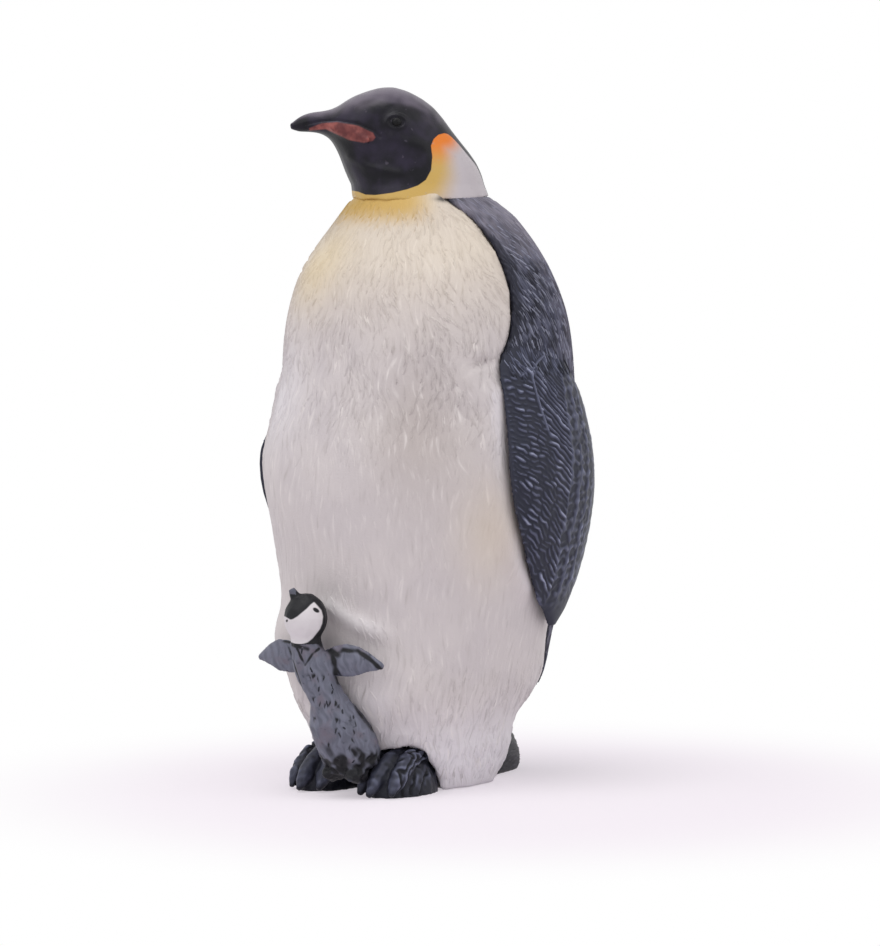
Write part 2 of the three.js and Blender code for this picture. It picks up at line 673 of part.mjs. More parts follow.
function chickBeak() {
  const way = new THREE.Vector3(-0.34, -0.35, 1).normalize();
  const root = chickHead.clone().addScaledVector(way, CHICK_HEAD_HEIGHT * 0.35);
  const tip = chickHead.clone().addScaledVector(way, CHICK_HEAD_HEIGHT / 2 + CHICK_BEAK_LENGTH);
  const size = (t) => [CHICK_BEAK_RADIUS * (1 - 0.45 * t * t), CHICK_BEAK_RADIUS * (1 - 0.45 * t * t)];
  return limb([root, tip], size, 4, 10, new THREE.Vector3(0, 1, 0));
}

function chickFlipper(side) {
  const out = (share) => chickShoulder.clone().add(
    new THREE.Vector3(
      side * CHICK_FLIPPER_LENGTH * share,
      CHICK_FLIPPER_SWEEP * share * share,
      CHICK_FLIPPER_ARCH * 4 * share * (1 - share) + CHICK_FLIPPER_RISE * share,
    ),
  );
  const chord = smoothCurve([
    [0, 0.7],
    [0.3, 0.95],
    [0.5, 1],
    [0.75, 0.58],
    [1, 0.2],
  ]);
  const size = (t) => [
    (CHICK_FLIPPER_THICKNESS / 2) * (0.4 + 0.6 * chord(t)),
    (CHICK_FLIPPER_CHORD / 2) * chord(t),
  ];
  return limb([0.1, 0.4, 0.75, 1].map(out), size, 10, 12);
}

function chickFoot(side) {
  const seat = chickSpine[0];
  const place = new THREE.Vector3(
    seat.x + side * CHICK_FOOT_WIDTH * 0.75,
    seat.y - CHICK_SPINE[0].radius * 0.6,
    seat.z - CHICK_FOOT_HEIGHT / 2,
  );
  const halves = [CHICK_FOOT_WIDTH / 2, CHICK_FOOT_LENGTH / 2, CHICK_FOOT_HEIGHT / 2];
  return ellipsoid(halves, new THREE.Matrix4().makeTranslation(place), 12);
}

function chickForm() {
  const head = ellipsoid(
    [CHICK_HEAD_WIDTH / 2, CHICK_HEAD_DEPTH / 2, CHICK_HEAD_HEIGHT / 2],
    new THREE.Matrix4().makeTranslation(chickHead),
  );
  const limbs = [chickFlipper(1), chickFlipper(-1), chickFoot(1), chickFoot(-1)];
  return [head, chickBeak(), ...limbs].reduce((joined, next) => joined.add(next), chickTorso());
}

function chickPeg(clearance = 0) {
  const start = new THREE.Vector3(CHICK_SPINE[2].x, chickSpine[2].y, CHICK_PEG_Z);
  const length = -bodyFront(CHICK_PEG_Z) - start.y + CHICK_PEG_DEPTH + clearance;
  return peg(start, new THREE.Vector3(0, 1, 0), CHICK_PEG_RADIUS + clearance, length);
}

// Assembly
const headMatrix = new THREE.Matrix4()
  .makeRotationZ(-radians(HEAD_TURN))
  .setPosition(0, 0, NECK_SEAM_Z);
const sides = { left: 1, right: -1 };
const bodyWithGap = bodyForm(GLUE_GAP);

const socketCutters = [
  mantleShell(GLUE_GAP),
  ...mantlePegs(GLUE_GAP),
  solid(neckSpigot(GLUE_GAP).applyMatrix4(headMatrix)),
  ...Object.values(sides).map((side) => flipperPeg(side, GLUE_GAP)),
  ...Object.values(sides).map((side) => foot(side, GLUE_GAP)),
  tailPeg(GLUE_GAP),
  chickPeg(GLUE_GAP),
];
const bodySolid = socketCutters.reduce((rest, cutter) => rest.subtract(cutter), bodyForm());

const mantleSolid = Object.values(sides).reduce(
  (rest, side) => rest.subtract(flipperPeg(side, GLUE_GAP)),
  mantlePegs().reduce((joined, next) => joined.add(next), mantleShell()),
);

const headSolid = Object.values(sides).reduce(
  (joined, side) => joined.add(eye(side)).add(mandiblePlate(side)),
  headForm().add(solid(neckSpigot().translate(0, 0, -GLUE_GAP))),
);

const tailSolid = standOnGround(
  tail().subtract(bodyWithGap).subtract(mantleShell(GLUE_GAP)).add(tailPeg()),
);

const chickSolid = Object.values(sides)
  .reduce(
    (rest, side) => rest.subtract(foot(side, GLUE_GAP)),
    chickForm().subtract(bodyWithGap),
  )
  .add(chickPeg());

// Finishes
const pvc = (color) => new THREE.MeshStandardMaterial({ color, roughness: 0.55, metalness: 0 });
const BELLY_WHITE = pvc(0xd9d2cd);
const MANTLE_SLATE = pvc(0x3f4250);
const HOOD_BLACK = pvc(0x2d2c34);
const FLIPPER_SLATE = pvc(0x393d4b);
const FOOT_BLACK = pvc(0x25272e);
const CHICK_GREY = pvc(0x62667a);

function piece(name, shape, material) {
  const mesh = new THREE.Mesh(geometryOf(shape), material);
  mesh.name = name;
  return mesh;
}

const figurine = new THREE.Group();
const turnedHead = new THREE.Group();
turnedHead.position.z = NECK_SEAM_Z + GLUE_GAP;
turnedHead.rotation.z = -radians(HEAD_TURN);
turnedHead.add(piece("head", headSolid, HOOD_BLACK));
figurine.add(
  piece("body", bodySolid, BELLY_WHITE),
  piece("back_mantle", mantleSolid, MANTLE_SLATE),
  turnedHead,
  piece("tail", tailSolid, MANTLE_SLATE),
  piece("chick", chickSolid, CHICK_GREY),
);
for (const [name, side] of Object.entries(sides)) {
  figurine.add(
    piece(`${name}_flipper`, flipper(side), FLIPPER_SLATE),
    piece(`${name}_foot`, standOnGround(foot(side)), FOOT_BLACK),
  );
}

// The origin is under the middle of the figurine's outline
figurine.updateMatrixWorld(true);
const middle = new THREE.Box3().setFromObject(figurine, true).getCenter(new THREE.Vector3());
figurine.position.set(-middle.x, -middle.y, 0);

const part = new THREE.Group();
part.add(figurine);
export default part;
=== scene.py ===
import math

import bmesh
import bpy
import numpy as np
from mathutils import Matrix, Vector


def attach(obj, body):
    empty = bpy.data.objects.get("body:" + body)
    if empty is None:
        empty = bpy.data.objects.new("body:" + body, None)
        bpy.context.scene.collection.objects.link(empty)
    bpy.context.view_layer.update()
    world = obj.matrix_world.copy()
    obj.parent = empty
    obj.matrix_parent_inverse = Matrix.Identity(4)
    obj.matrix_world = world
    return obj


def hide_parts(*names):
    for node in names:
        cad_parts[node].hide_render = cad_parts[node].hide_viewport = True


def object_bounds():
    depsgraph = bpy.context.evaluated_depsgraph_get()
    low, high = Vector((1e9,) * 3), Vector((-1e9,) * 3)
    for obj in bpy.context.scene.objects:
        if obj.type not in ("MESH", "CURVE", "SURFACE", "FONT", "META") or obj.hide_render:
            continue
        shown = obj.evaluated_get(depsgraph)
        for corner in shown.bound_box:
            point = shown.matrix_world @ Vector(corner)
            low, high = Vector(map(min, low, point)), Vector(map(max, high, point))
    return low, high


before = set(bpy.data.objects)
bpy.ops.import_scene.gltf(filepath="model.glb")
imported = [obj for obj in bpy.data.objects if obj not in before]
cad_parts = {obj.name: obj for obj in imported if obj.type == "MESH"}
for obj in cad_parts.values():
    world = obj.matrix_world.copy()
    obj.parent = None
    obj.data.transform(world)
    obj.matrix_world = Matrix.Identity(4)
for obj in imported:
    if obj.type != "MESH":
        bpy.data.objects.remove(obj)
cad_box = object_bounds()


# Body: the breast, belly and skirt, a solid PVC moulding that the other pieces plug into.
# Its feathers are cut in the mould as short strokes that run down the figure. It is sprayed
# off-white, with yellow under the collar and a warmer white on the breast and one flank.
MM = 0.001
AXIS_Y = 3.405  # mm from the frame's origin back to the adult's axis
# A flipper's front edge: heights in mm, and degrees round from the adult's side, minus towards its front
FLIPPER_LEAD = ((21, 12), (24, -2), (27, -7), (30, -14), (36, -22), (42, -24.5), (54, -24.6), (57, -18.5))
POUCH_FOLD = ((-2, 22.8), (8, 21.2), (21, 19.9), (40, 19.0))  # degrees round from the front, and heights
POUCH_RISE = 0.5
POUCH_CREASE = 0.15
WELT_RISE = 0.95  # ahead of the flippers' front edges
PLEAT_RISE = 0.14
ARMPIT_DEPTH = 0.7
COLLAR_FILLET = 0.9
SKIRT_TAPER = 0.1  # share by which the skirt's rear corners draw in at the ground
HEM_RIPPLE = 0.16
SLOW_WAVER = 0.15  # of the whole skin, as a hand-shaped model has
HEM_ENDS = (10, 21)  # a zone ends or starts over these heights
RUFFLES_START = (34, 52)
BREAST_STARTS = (45, 66)
HEAD_TURN_DEGREES = 50  # towards the adult's right


def settle(piece):
    """Makes what a piece's modifiers give its plain mesh."""
    shown = piece.evaluated_get(bpy.context.evaluated_depsgraph_get())
    mesh = bpy.data.meshes.new_from_object(shown)
    piece.modifiers.clear()
    piece.data = mesh


def places(piece):
    """Every point of a piece, in mm from the adult's axis and the ground."""
    flat = np.empty(len(piece.data.vertices) * 3)
    piece.data.vertices.foreach_get("co", flat)
    return flat.reshape(-1, 3) / MM - (0, AXIS_Y, 0)


def place(piece, points):
    """Moves every point of a piece to its new place."""
    piece.data.vertices.foreach_set("co", ((points + (0, AXIS_Y, 0)) * MM).ravel())
    piece.data.update()


def widen(points, share):
    """Points moved to a share of their distance from the adult's axis."""
    return points * np.c_[share, share, np.ones(len(points))]


def facings(piece):
    """The direction that the skin faces at every point."""
    flat = np.empty(len(piece.data.vertices) * 3)
    piece.data.vertex_normals.foreach_get("vector", flat)
    return flat.reshape(-1, 3)


def eased(piece, values, rounds):
    """Values at every point, evened out with those of its neighbours, round after round."""
    pairs = np.empty(len(piece.data.edges) * 2, int)
    piece.data.edges.foreach_get("vertices", pairs)
    a, b = pairs.reshape(-1, 2).T
    count = len(values)
    neighbours = np.bincount(a, minlength=count) + np.bincount(b, minlength=count)
    for _ in range(rounds):
        sums = [np.bincount(a, column[b], count) + np.bincount(b, column[a], count) for column in values.T]
        values = (values + np.stack(sums, 1) / neighbours[:, None]) / 2
    return values


def ramp(values, low, high):
    """0 below low, 1 above high, and a smooth rise between them."""
    share = np.clip((values - low) / (high - low), 0, 1)
    return share * share * (3 - 2 * share)


def moulding(node, voxel, rounds):
    """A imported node's form with an even, fine skin, its facets smoothed away and its edges kept.
    The voxel is in mm."""
    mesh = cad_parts[node].data.copy()
    mesh.materials.clear()
    joined = bmesh.new()
    joined.from_mesh(mesh)
    bmesh.ops.remove_doubles(joined, verts=joined.verts, dist=1e-7)
    joined.to_mesh(mesh)
    joined.free()
    piece = bpy.data.objects.new(node + "_painted", mesh)
    bpy.context.scene.collection.objects.link(piece)
    even = piece.modifiers.new("even skin", "REMESH")
    even.mode = "VOXEL"
    even.voxel_size = voxel * MM
    even.use_smooth_shade = True
    settle(piece)
    place(piece, eased(piece, places(piece), 2))
    alike = np.linalg.norm(eased(piece, facings(piece), 5), axis=1)  # 1 where neighbours face the same way
    calm = ramp(alike, 0.93, 0.985)[:, None]
    points = places(piece)
    for _ in range(rounds):
        points += (eased(piece, points, 1) - points) * calm
    place(piece, points)
    return piece


def raise_skin(piece, heights):
    """Moves every point outwards by its height in mm, inwards if that is negative."""
    place(piece, places(piece) + facings(piece) * heights[:, None])


def keep(piece, name, values):
    """Keeps a number or a direction for every point, for the paint or the strokes to read."""
    is_number = values.ndim == 1
    kept = piece.data.attributes.new(name, "FLOAT" if is_number else "FLOAT_VECTOR", "POINT")
    kept.data.foreach_set("value" if is_number else "vector", values.ravel())


def down_the_skin(facing, lean):
    """Directions down a skin, turned by a lean in degrees towards the adult's left on its front."""
    down = np.array((0, 0, -1)) + facing * facing[:, 2:]
    down /= np.maximum(np.linalg.norm(down, axis=1), 1e-6)[:, None]
    sideways = np.cross(facing, down)
    turn = np.radians(lean)[:, None]
    return down * np.cos(turn) + sideways * np.sin(turn)


def add(tree, kind, inputs=None, **settings):
    """Adds a node with its settings, its input values and its links."""
    node = tree.nodes.new(kind)
    for name, value in settings.items():
        setattr(node, name, value)
    for key, value in (inputs or {}).items():
        if isinstance(value, bpy.types.NodeSocket):
            tree.links.new(value, node.inputs[key])
        else:
            node.inputs[key].default_value = value
    return node


def linear(code):
    """An sRGB hex colour as linear light."""
    shares = [int(code[i : i + 2], 16) / 255 for i in (1, 3, 5)]
    return (*[s / 12.92 if s <= 0.04045 else ((s + 0.055) / 1.055) ** 2.4 for s in shares], 1)


def stroke_tree():
    """Raised strokes strewn over a skin along its kept flow, where its kept cover allows them,
    and as high as its kept boldness makes them."""
    tree = bpy.data.node_groups.new("moulded strokes", "GeometryNodeTree")
    tree.interface.new_socket("Skin", in_out="INPUT", socket_type="NodeSocketGeometry")
    for name in ("Spacing", "Length", "Width", "Height", "Bend", "Wander"):
        tree.interface.new_socket(name, in_out="INPUT", socket_type="NodeSocketFloat")
    tree.interface.new_socket("Seed", in_out="INPUT", socket_type="NodeSocketInt")
    tree.interface.new_socket("Paint", in_out="INPUT", socket_type="NodeSocketMaterial")
    tree.interface.new_socket("Skin", in_out="OUTPUT", socket_type="NodeSocketGeometry")
    given = add(tree, "NodeGroupInput").outputs
    sunk = 0.4  # share of a stroke's height that lies under the skin
    densest = 6e6  # strokes to a square metre, more than any spacing lets in

    # One stroke: a small patch bulged into a lens that is pointed at both ends, in three bends
    patch = add(tree, "GeometryNodeMeshGrid", {"Vertices X": 4, "Vertices Y": 3})
    at = add(tree, "ShaderNodeSeparateXYZ", {0: add(tree, "GeometryNodeInputPosition").outputs[0]})
    along = add(tree, "ShaderNodeMath", {0: at.outputs["X"], 1: 2.0}, operation="MULTIPLY")
    square = add(tree, "ShaderNodeMath", {0: along.outputs[0], 1: along.outputs[0]}, operation="MULTIPLY")
    taper = add(tree, "ShaderNodeMath", {0: 1.0, 1: square.outputs[0]}, operation="SUBTRACT")
    across = add(tree, "ShaderNodeMath", {0: at.outputs["Y"], 1: 2.0}, operation="MULTIPLY")
    off_crest = add(tree, "ShaderNodeMath", {0: across.outputs[0]}, operation="ABSOLUTE")
    on_crest = add(tree, "ShaderNodeMath", {0: 1.0, 1: off_crest.outputs[0]}, operation="SUBTRACT")
    crest = add(tree, "ShaderNodeMath", {0: taper.outputs[0], 1: on_crest.outputs[0]}, operation="MULTIPLY")
    long = add(tree, "ShaderNodeMath", {0: at.outputs["X"], 1: given["Length"]}, operation="MULTIPLY")
    wide = add(tree, "ShaderNodeMath", {0: at.outputs["Y"], 1: given["Width"]}, operation="MULTIPLY")
    wide = add(tree, "ShaderNodeMath", {0: wide.outputs[0], 1: taper.outputs[0]}, operation="MULTIPLY")
    bow = add(tree, "ShaderNodeMath", {0: taper.outputs[0], 1: given["Bend"]}, operation="MULTIPLY")
    high = add(tree, "ShaderNodeMath", {0: crest.outputs[0], 1: sunk}, operation="SUBTRACT")
    high = add(tree, "ShaderNodeMath", {0: high.outputs[0], 1: given["Height"]}, operation="MULTIPLY")
    marked = add(
        tree, "GeometryNodeStoreNamedAttribute",
        {"Geometry": patch.outputs["Mesh"], "Name": "crest", "Value": crest.outputs[0]},
        data_type="FLOAT", domain="POINT",
    )
    lifted = add(
        tree, "GeometryNodeStoreNamedAttribute",
        {"Geometry": marked.outputs[0], "Name": "lift", "Value": high.outputs[0]},
        data_type="FLOAT", domain="POINT",
    )
    stroke = add(tree, "GeometryNodeJoinGeometry")
    for bend in (-1.0, 0.2, 1.0):
        side = add(
            tree, "ShaderNodeMath", {0: bow.outputs[0], 1: bend, 2: wide.outputs[0]}, operation="MULTIPLY_ADD"
        )
        outline = add(tree, "ShaderNodeCombineXYZ", {0: long.outputs[0], 1: side.outputs[0]})
        bent = add(
            tree, "GeometryNodeSetPosition", {"Geometry": lifted.outputs[0], "Position": outline.outputs[0]}
        )
        single = add(tree, "GeometryNodeGeometryToInstance", {0: bent.outputs[0]})
        tree.links.new(single.outputs[0], stroke.inputs[0])

    # Where the strokes go, and which way each one lies
    cover = add(tree, "GeometryNodeInputNamedAttribute", {"Name": "cover"}, data_type="FLOAT")
    flow = add(tree, "GeometryNodeInputNamedAttribute", {"Name": "flow"}, data_type="FLOAT_VECTOR")
    strewn = add(
        tree, "GeometryNodeDistributePointsOnFaces",
        {
            "Mesh": given["Skin"], "Distance Min": given["Spacing"], "Density Max": densest,
            "Density Factor": cover.outputs[0], "Seed": given["Seed"],
        },
        distribute_method="POISSON",
    )
    lying = add(
        tree, "FunctionNodeAxesToRotation",
        {"Primary Axis": strewn.outputs["Normal"], "Secondary Axis": flow.outputs[0]},
        primary_axis="Z", secondary_axis="X",
    )
    least = add(tree, "ShaderNodeMath", {0: given["Wander"], 1: -1.0}, operation="MULTIPLY")
    wander = add(
        tree, "FunctionNodeRandomValue",
        {"Min": least.outputs[0], "Max": given["Wander"], "Seed": given["Seed"]}, data_type="FLOAT",
    )
    astray = add(
        tree, "FunctionNodeAxisAngleToRotation", {"Axis": (0, 0, 1), "Angle": wander.outputs["Value"]}
    )
    turned = add(
        tree, "FunctionNodeRotateRotation",
        {"Rotation": lying.outputs[0], "Rotate By": astray.outputs[0]}, rotation_space="LOCAL",
    )
    size = add(
        tree, "FunctionNodeRandomValue",
        {"Min": (0.6, 0.75, 0.6), "Max": (1.35, 1.2, 1.25), "Seed": given["Seed"]}, data_type="FLOAT_VECTOR",
    )
    which = add(tree, "FunctionNodeRandomValue", {"Min": 0, "Max": 2, "Seed": given["Seed"]}, data_type="INT")
    strokes = add(
        tree, "GeometryNodeInstanceOnPoints",
        {
            "Points": strewn.outputs["Points"], "Instance": stroke.outputs[0], "Pick Instance": True,
            "Instance Index": which.outputs["Value"], "Rotation": turned.outputs[0],
            "Scale": size.outputs["Value"],
        },
    )
    tone = add(tree, "FunctionNodeRandomValue", {"Seed": given["Seed"]}, data_type="FLOAT")
    toned = add(
        tree, "GeometryNodeStoreNamedAttribute",
        {"Geometry": strokes.outputs[0], "Name": "tone", "Value": tone.outputs["Value"]},
        data_type="FLOAT", domain="INSTANCE",
    )
    real = add(tree, "GeometryNodeRealizeInstances", {"Geometry": toned.outputs[0]})

    # Every stroke is laid on the skin and lifted off it along its crest
    nearest = add(tree, "GeometryNodeProximity", {0: given["Skin"]}, target_element="FACES")
    outwards = add(
        tree, "GeometryNodeSampleNearestSurface",
        {"Mesh": given["Skin"], "Value": add(tree, "GeometryNodeInputNormal").outputs[0]},
        data_type="FLOAT_VECTOR",
    )
    lift = add(tree, "GeometryNodeInputNamedAttribute", {"Name": "lift"}, data_type="FLOAT")
    bold = add(tree, "GeometryNodeInputNamedAttribute", {"Name": "bold"}, data_type="FLOAT")
    bolder = add(tree, "ShaderNodeMath", {0: lift.outputs[0], 1: bold.outputs[0]}, operation="MULTIPLY")
    rise = add(
        tree, "ShaderNodeVectorMath", {0: outwards.outputs[0], 3: bolder.outputs[0]}, operation="SCALE"
    )
    laid = add(
        tree, "GeometryNodeSetPosition",
        {"Geometry": real.outputs[0], "Position": nearest.outputs["Position"], "Offset": rise.outputs[0]},
    )
    smooth = add(tree, "GeometryNodeSetShadeSmooth", {"Geometry": laid.outputs[0]})
    joined = add(tree, "GeometryNodeJoinGeometry", {"Geometry": smooth.outputs[0]})
    tree.links.new(given["Skin"], joined.inputs[0])
    painted = add(
        tree, "GeometryNodeSetMaterial", {"Geometry": joined.outputs[0], "Material": given["Paint"]}
    )
    add(tree, "NodeGroupOutput", {"Skin": painted.outputs[0]})
    return tree


moulded_strokes = stroke_tree()


def cut_strokes(piece, paint, spacing, length, width, height, bend, wander, seed):
    """Covers a piece with strokes. Sizes are in mm and the wander in degrees."""
    given = {
        "Spacing": spacing * MM, "Length": length * MM, "Width": width * MM, "Height": height * MM,
        "Bend": bend * MM, "Wander": math.radians(wander), "Seed": seed, "Paint": paint,
    }
    strokes = piece.modifiers.new("strokes", "NODES")
    strokes.node_group = moulded_strokes
    for socket in moulded_strokes.interface.items_tree:
        if socket.name in given:
            strokes[socket.identifier] = given[socket.name]
    settle(piece)


def plug_in(piece, node):
    """Puts a painted piece in its node's place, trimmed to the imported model's box."""
    low, high = (np.array(corner) / MM - (0, AXIS_Y, 0) for corner in cad_box)
    place(piece, np.clip(places(piece), low, high))
    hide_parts(node)
    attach(piece, "root")


def new_finish(name, roughness):
    """A new finish, its node tree, and its shader with the roughness set."""
    paint = bpy.data.materials.new(name)
    paint.use_nodes = True
    tree = paint.node_tree
    shader = tree.nodes["Principled BSDF"]
    shader.inputs["Roughness"].default_value = roughness
    shader.inputs["IOR"].default_value = 1.45
    shader.inputs["Specular IOR Level"].default_value = 0.3
    return paint, tree, shader


def coat(tree, under, over, mask, low=0.0, high=1.0):
    """Sprays a colour over another where a mask, a kept number or a socket, rises from low to high."""
    under, over = (linear(colour) if isinstance(colour, str) else colour for colour in (under, over))
    if isinstance(mask, str):
        mask = add(tree, "ShaderNodeAttribute", attribute_name=mask).outputs["Fac"]
    share = add(tree, "ShaderNodeMapRange", {0: mask, 1: low, 2: high}, interpolation_type="SMOOTHSTEP")
    return add(tree, "ShaderNodeMix", {0: share.outputs[0], 6: under, 7: over}, data_type="RGBA").outputs[2]


def blotches(tree, size):
    """Soft blotches of a size in mm, from 0 to 1."""
    where = add(tree, "ShaderNodeTexCoord").outputs["Object"]
    noise = add(tree, "ShaderNodeTexNoise", {"Vector": where, "Scale": 1 / (size * MM), "Detail": 2.0})
    return noise.outputs["Fac"]


def streaks(tree, width, length):
    """Fine streaks of a width and length in mm, laid along a skin's kept comb."""
    sizes = []
    for name, size in (("across", width), ("along", length)):
        where = add(tree, "ShaderNodeAttribute", attribute_name=name).outputs["Fac"]
        sizes.append(add(tree, "ShaderNodeMath", {0: where, 1: 1 / size}, operation="MULTIPLY").outputs[0])
    comb = add(tree, "ShaderNodeCombineXYZ", {0: sizes[0], 1: sizes[1]})
    noise = add(tree, "ShaderNodeTexNoise", {"Vector": comb.outputs[0], "Scale": 1.0, "Detail": 1.0})
    return noise.outputs["Fac"]


def uneven(tree, shader, layers):
    """The fine unevenness of moulded and sprayed paint: patterns with their depths in mm. The grain of
    sprayed paint, about 0.05 mm, is too fine to show, so it is drawn as blotches of 0.2 to 0.5 mm."""
    for pattern, depth in layers:
        under = [link.from_socket for link in shader.inputs["Normal"].links]
        bump = add(tree, "ShaderNodeBump", {"Strength": 1.0, "Distance": depth * MM, "Height": pattern})
        for normal in under:
            tree.links.new(normal, bump.inputs["Normal"])
        tree.links.new(bump.outputs[0], shader.inputs["Normal"])


def on_strokes(tree, low, high):
    """The strokes' crests, from none where a stroke's tone is low to all of those where it is high."""
    crest, tone = (
        add(tree, "ShaderNodeAttribute", attribute_name=name).outputs["Fac"] for name in ("crest", "tone")
    )
    share = add(tree, "ShaderNodeMapRange", {0: tone, 1: low, 2: high})
    return add(tree, "ShaderNodeMath", {0: crest, 1: share.outputs[0]}, operation="MULTIPLY").outputs[0]


def waver(at, size):
    """A number from -1 to 1 that wavers from place to place, over a size in mm."""
    x, y, z = at.T * (2 * np.pi / size)
    first = np.sin(x + 1.7 * np.sin(0.6 * z) + 0.9 * np.sin(0.9 * y))
    second = np.sin(1.3 * y + 1.9 * np.sin(0.7 * x) + 0.8 * np.sin(1.2 * z))
    third = np.sin(1.1 * z + 1.5 * np.sin(0.8 * y) + 1.1 * np.sin(0.5 * x))
    return (first + second + third) / 3


def between(pairs, heights):
    """Values at every height, or at every turn, from (height, value) pairs."""
    return np.interp(heights, *np.array(pairs).T)


def off_line(line, across, up):
    """Distance from every point to a line through the given places."""
    best = np.full(len(across), 1e9)
    for (x0, y0), (x1, y1) in zip(line, line[1:]):
        length = (x1 - x0) ** 2 + (y1 - y0) ** 2
        share = np.clip(((across - x0) * (x1 - x0) + (up - y0) * (y1 - y0)) / length, 0, 1)
        best = np.minimum(best, np.hypot(across - x0 - share * (x1 - x0), up - y0 - share * (y1 - y0)))
    return best


def close_to(off, reach):
    """1 where a distance is 0, and nearly 0 where it is twice the reach."""
    return np.exp(-((off / reach) ** 2))


def spot(across, up, middle, reach):
    """A soft round spot: 1 in its middle, and nearly 0 at twice its reach."""
    return np.exp(-(((across - middle[0]) / reach[0]) ** 2) - (((up - middle[1]) / reach[1]) ** 2))


# Sprayed PVC is nearly matt: a wide soft sheen and no reflections. The white is cloudy where the coat
# is thin, greyer in the hollows and cleanest on the strokes' crests.
belly_paint, tree, shader = new_finish("PVC, sprayed off-white", 0.5)
combed = streaks(tree, 0.4, 3.0)
white = coat(tree, "#c6bfc0", "#cec7c6", blotches(tree, 7), 0.3, 0.7)
# Painted shade: greyer on the belly's front towards the adult's left, the side turned from the light
white = coat(tree, white, "#aea49f", "painted_flank_shade")
# Painted light: lighter on the breast towards the adult's right, at the hem, along the flippers' front edges
# and beside the chick
white = coat(tree, white, "#dfdbe0", "painted_light")
white = coat(tree, white, "#a39b98", combed, 0.53, 1.0)
white = coat(tree, white, "#e8e2df", combed, 0.47, 0.05)
white = coat(tree, white, "#8d8482", on_strokes(tree, 0.3, 0.1), 0.1, 3.2)
white = coat(tree, white, "#e9e3df", on_strokes(tree, 0.5, 0.95), 0.1, 2.0)
white = coat(tree, white, "#c9c2c3", "even")
white = coat(tree, white, "#dac9a9", "warm")
# Painted highlight along the top of the pouch's fold
white = coat(tree, white, "#e4dfe0", "pouch")
white = coat(tree, white, "#c6a45e", "collar")
# Painted shade: near black on the hem under the chick and in the notch at the mantle's tip by the neck
white = coat(tree, white, "#1c1c22", "painted_shade")
tree.links.new(white, shader.inputs["Base Color"])
uneven(tree, shader, ((combed, 0.07), (blotches(tree, 0.25), 0.03)))

body = moulding("body", voxel=0.6, rounds=18)
at = places(body)
off_axis = np.hypot(at[:, 0], at[:, 1])
at[:, 2] += COLLAR_FILLET * ramp(at[:, 2], 75.2, 75.8) * (1 - ramp(off_axis, 8.4, 9.3))
place(body, at)
facing = facings(body)
height = at[:, 2]
round_left = np.degrees(np.arctan2(at[:, 1], at[:, 0]))  # 0 at the adult's left, -90 in front
from_front = (round_left + 270) % 360 - 180
at_breast = ramp(height, *BREAST_STARTS)
at_hem = 1 - ramp(height, *HEM_ENDS)
ruffled = 0.3 + 0.7 * ramp(height, *RUFFLES_START) + 0.5 * at_hem  # least on the belly

# Forms on the skin, placed by degrees round and heights
armpit = spot(round_left, height - 0.07 * (round_left + 29), (-30, 55.3), (5.5, 0.5))
above_fold = height - between(POUCH_FOLD, from_front)
along_fold = ramp(from_front, -12, -3) * (1 - ramp(from_front, 12, 30))
pouch = close_to(above_fold - 1.2, 1.3) * along_fold
under_pouch = close_to(above_fold + 0.7, 0.7) * along_fold
flank = spot(from_front, height, (-54, 41.3), (34, 6.6))
flank -= 0.3 * spot(from_front, height, (-54, 53), (40, 5))
ahead = between(FLIPPER_LEAD, height) + 90 - np.abs(from_front)  # degrees ahead of a flipper's edge
welt = close_to(ahead - 1.5, 6.5) * ramp(height, 23, 27) * (1 - ramp(height, 51, 54))
pleats = spot(ahead, height, (6, 46), (5, 7)) * np.sin(1.4 * ahead + 0.8 * waver(at, 9))
corner = close_to(np.abs(from_front) - 126, 45) * np.clip(1 - height / 6, 0, 1) ** 1.6
ripples = waver(at * (1, 1, 1.5), 4) * ramp(height, 0.5, 2.5) * (1 - ramp(height, 7, 13))
place(body, widen(at, 1 - SKIRT_TAPER * corner))
raise_skin(body, SLOW_WAVER * waver(at, 17) + HEM_RIPPLE * ripples + flank - ARMPIT_DEPTH * armpit
           + POUCH_RISE * pouch - POUCH_CREASE * under_pouch + WELT_RISE * welt + PLEAT_RISE * pleats)

# Coats of paint, and of painted light and shade, each as a share of full cover
from_beak = np.abs(from_front + HEAD_TURN_DEGREES)
keep(body, "warm", 0.45 * ramp(height, 50, 71) + 0.35 * spot(from_front, height, (-30, 66.5), (20, 5))
     + 0.4 * spot(from_front, height, (62, 34), (18, 9)))
# Painted shade on the belly's front towards the adult's left, the side turned from the light
keep(body, "painted_flank_shade", 0.6 * spot(from_front, height, (34, 45), (24, 14)))
keep(body, "even", 0.45 * (1 - ramp(height, 36, 50)) * (1 - 0.8 * at_hem))
# Painted light: the breast lighter towards the adult's right, where the light falls, the hem lighter as if
# lit from the floor, and lighter strips along the flippers' front edges and beside the chick, where shade
# falls
painted_light = np.maximum(0.6 * spot(from_front, height, (-42, 50), (26, 9)), 0.9 * (1 - ramp(height, 2, 16)))
painted_light_by_chick = 0.5 * spot(from_front, height, (14, 10), (16, 8))
keep(body, "painted_light", np.maximum(painted_light, np.maximum(0.55 * welt ** 3, painted_light_by_chick)))
# Painted highlight along the top of the pouch's fold
keep(body, "pouch", 0.75 * pouch)
keep(body, "collar", 0.97 * ramp(height, 70.6, 75.4) * (1 - ramp(from_beak, 66, 108)))
# Painted shade, near black, on the hem under the chick between the feet and in the notch at the mantle's tip
# by the neck
under_chick = (1 - ramp(height, 3.0, 4.5)) * (1 - ramp(np.abs(at[:, 0]), 2.5, 4.0)) * (at[:, 1] < 0)
keep(body, "painted_shade", np.maximum(under_chick, spot(round_left, height, (-37, 75.7), (9, 0.45))))

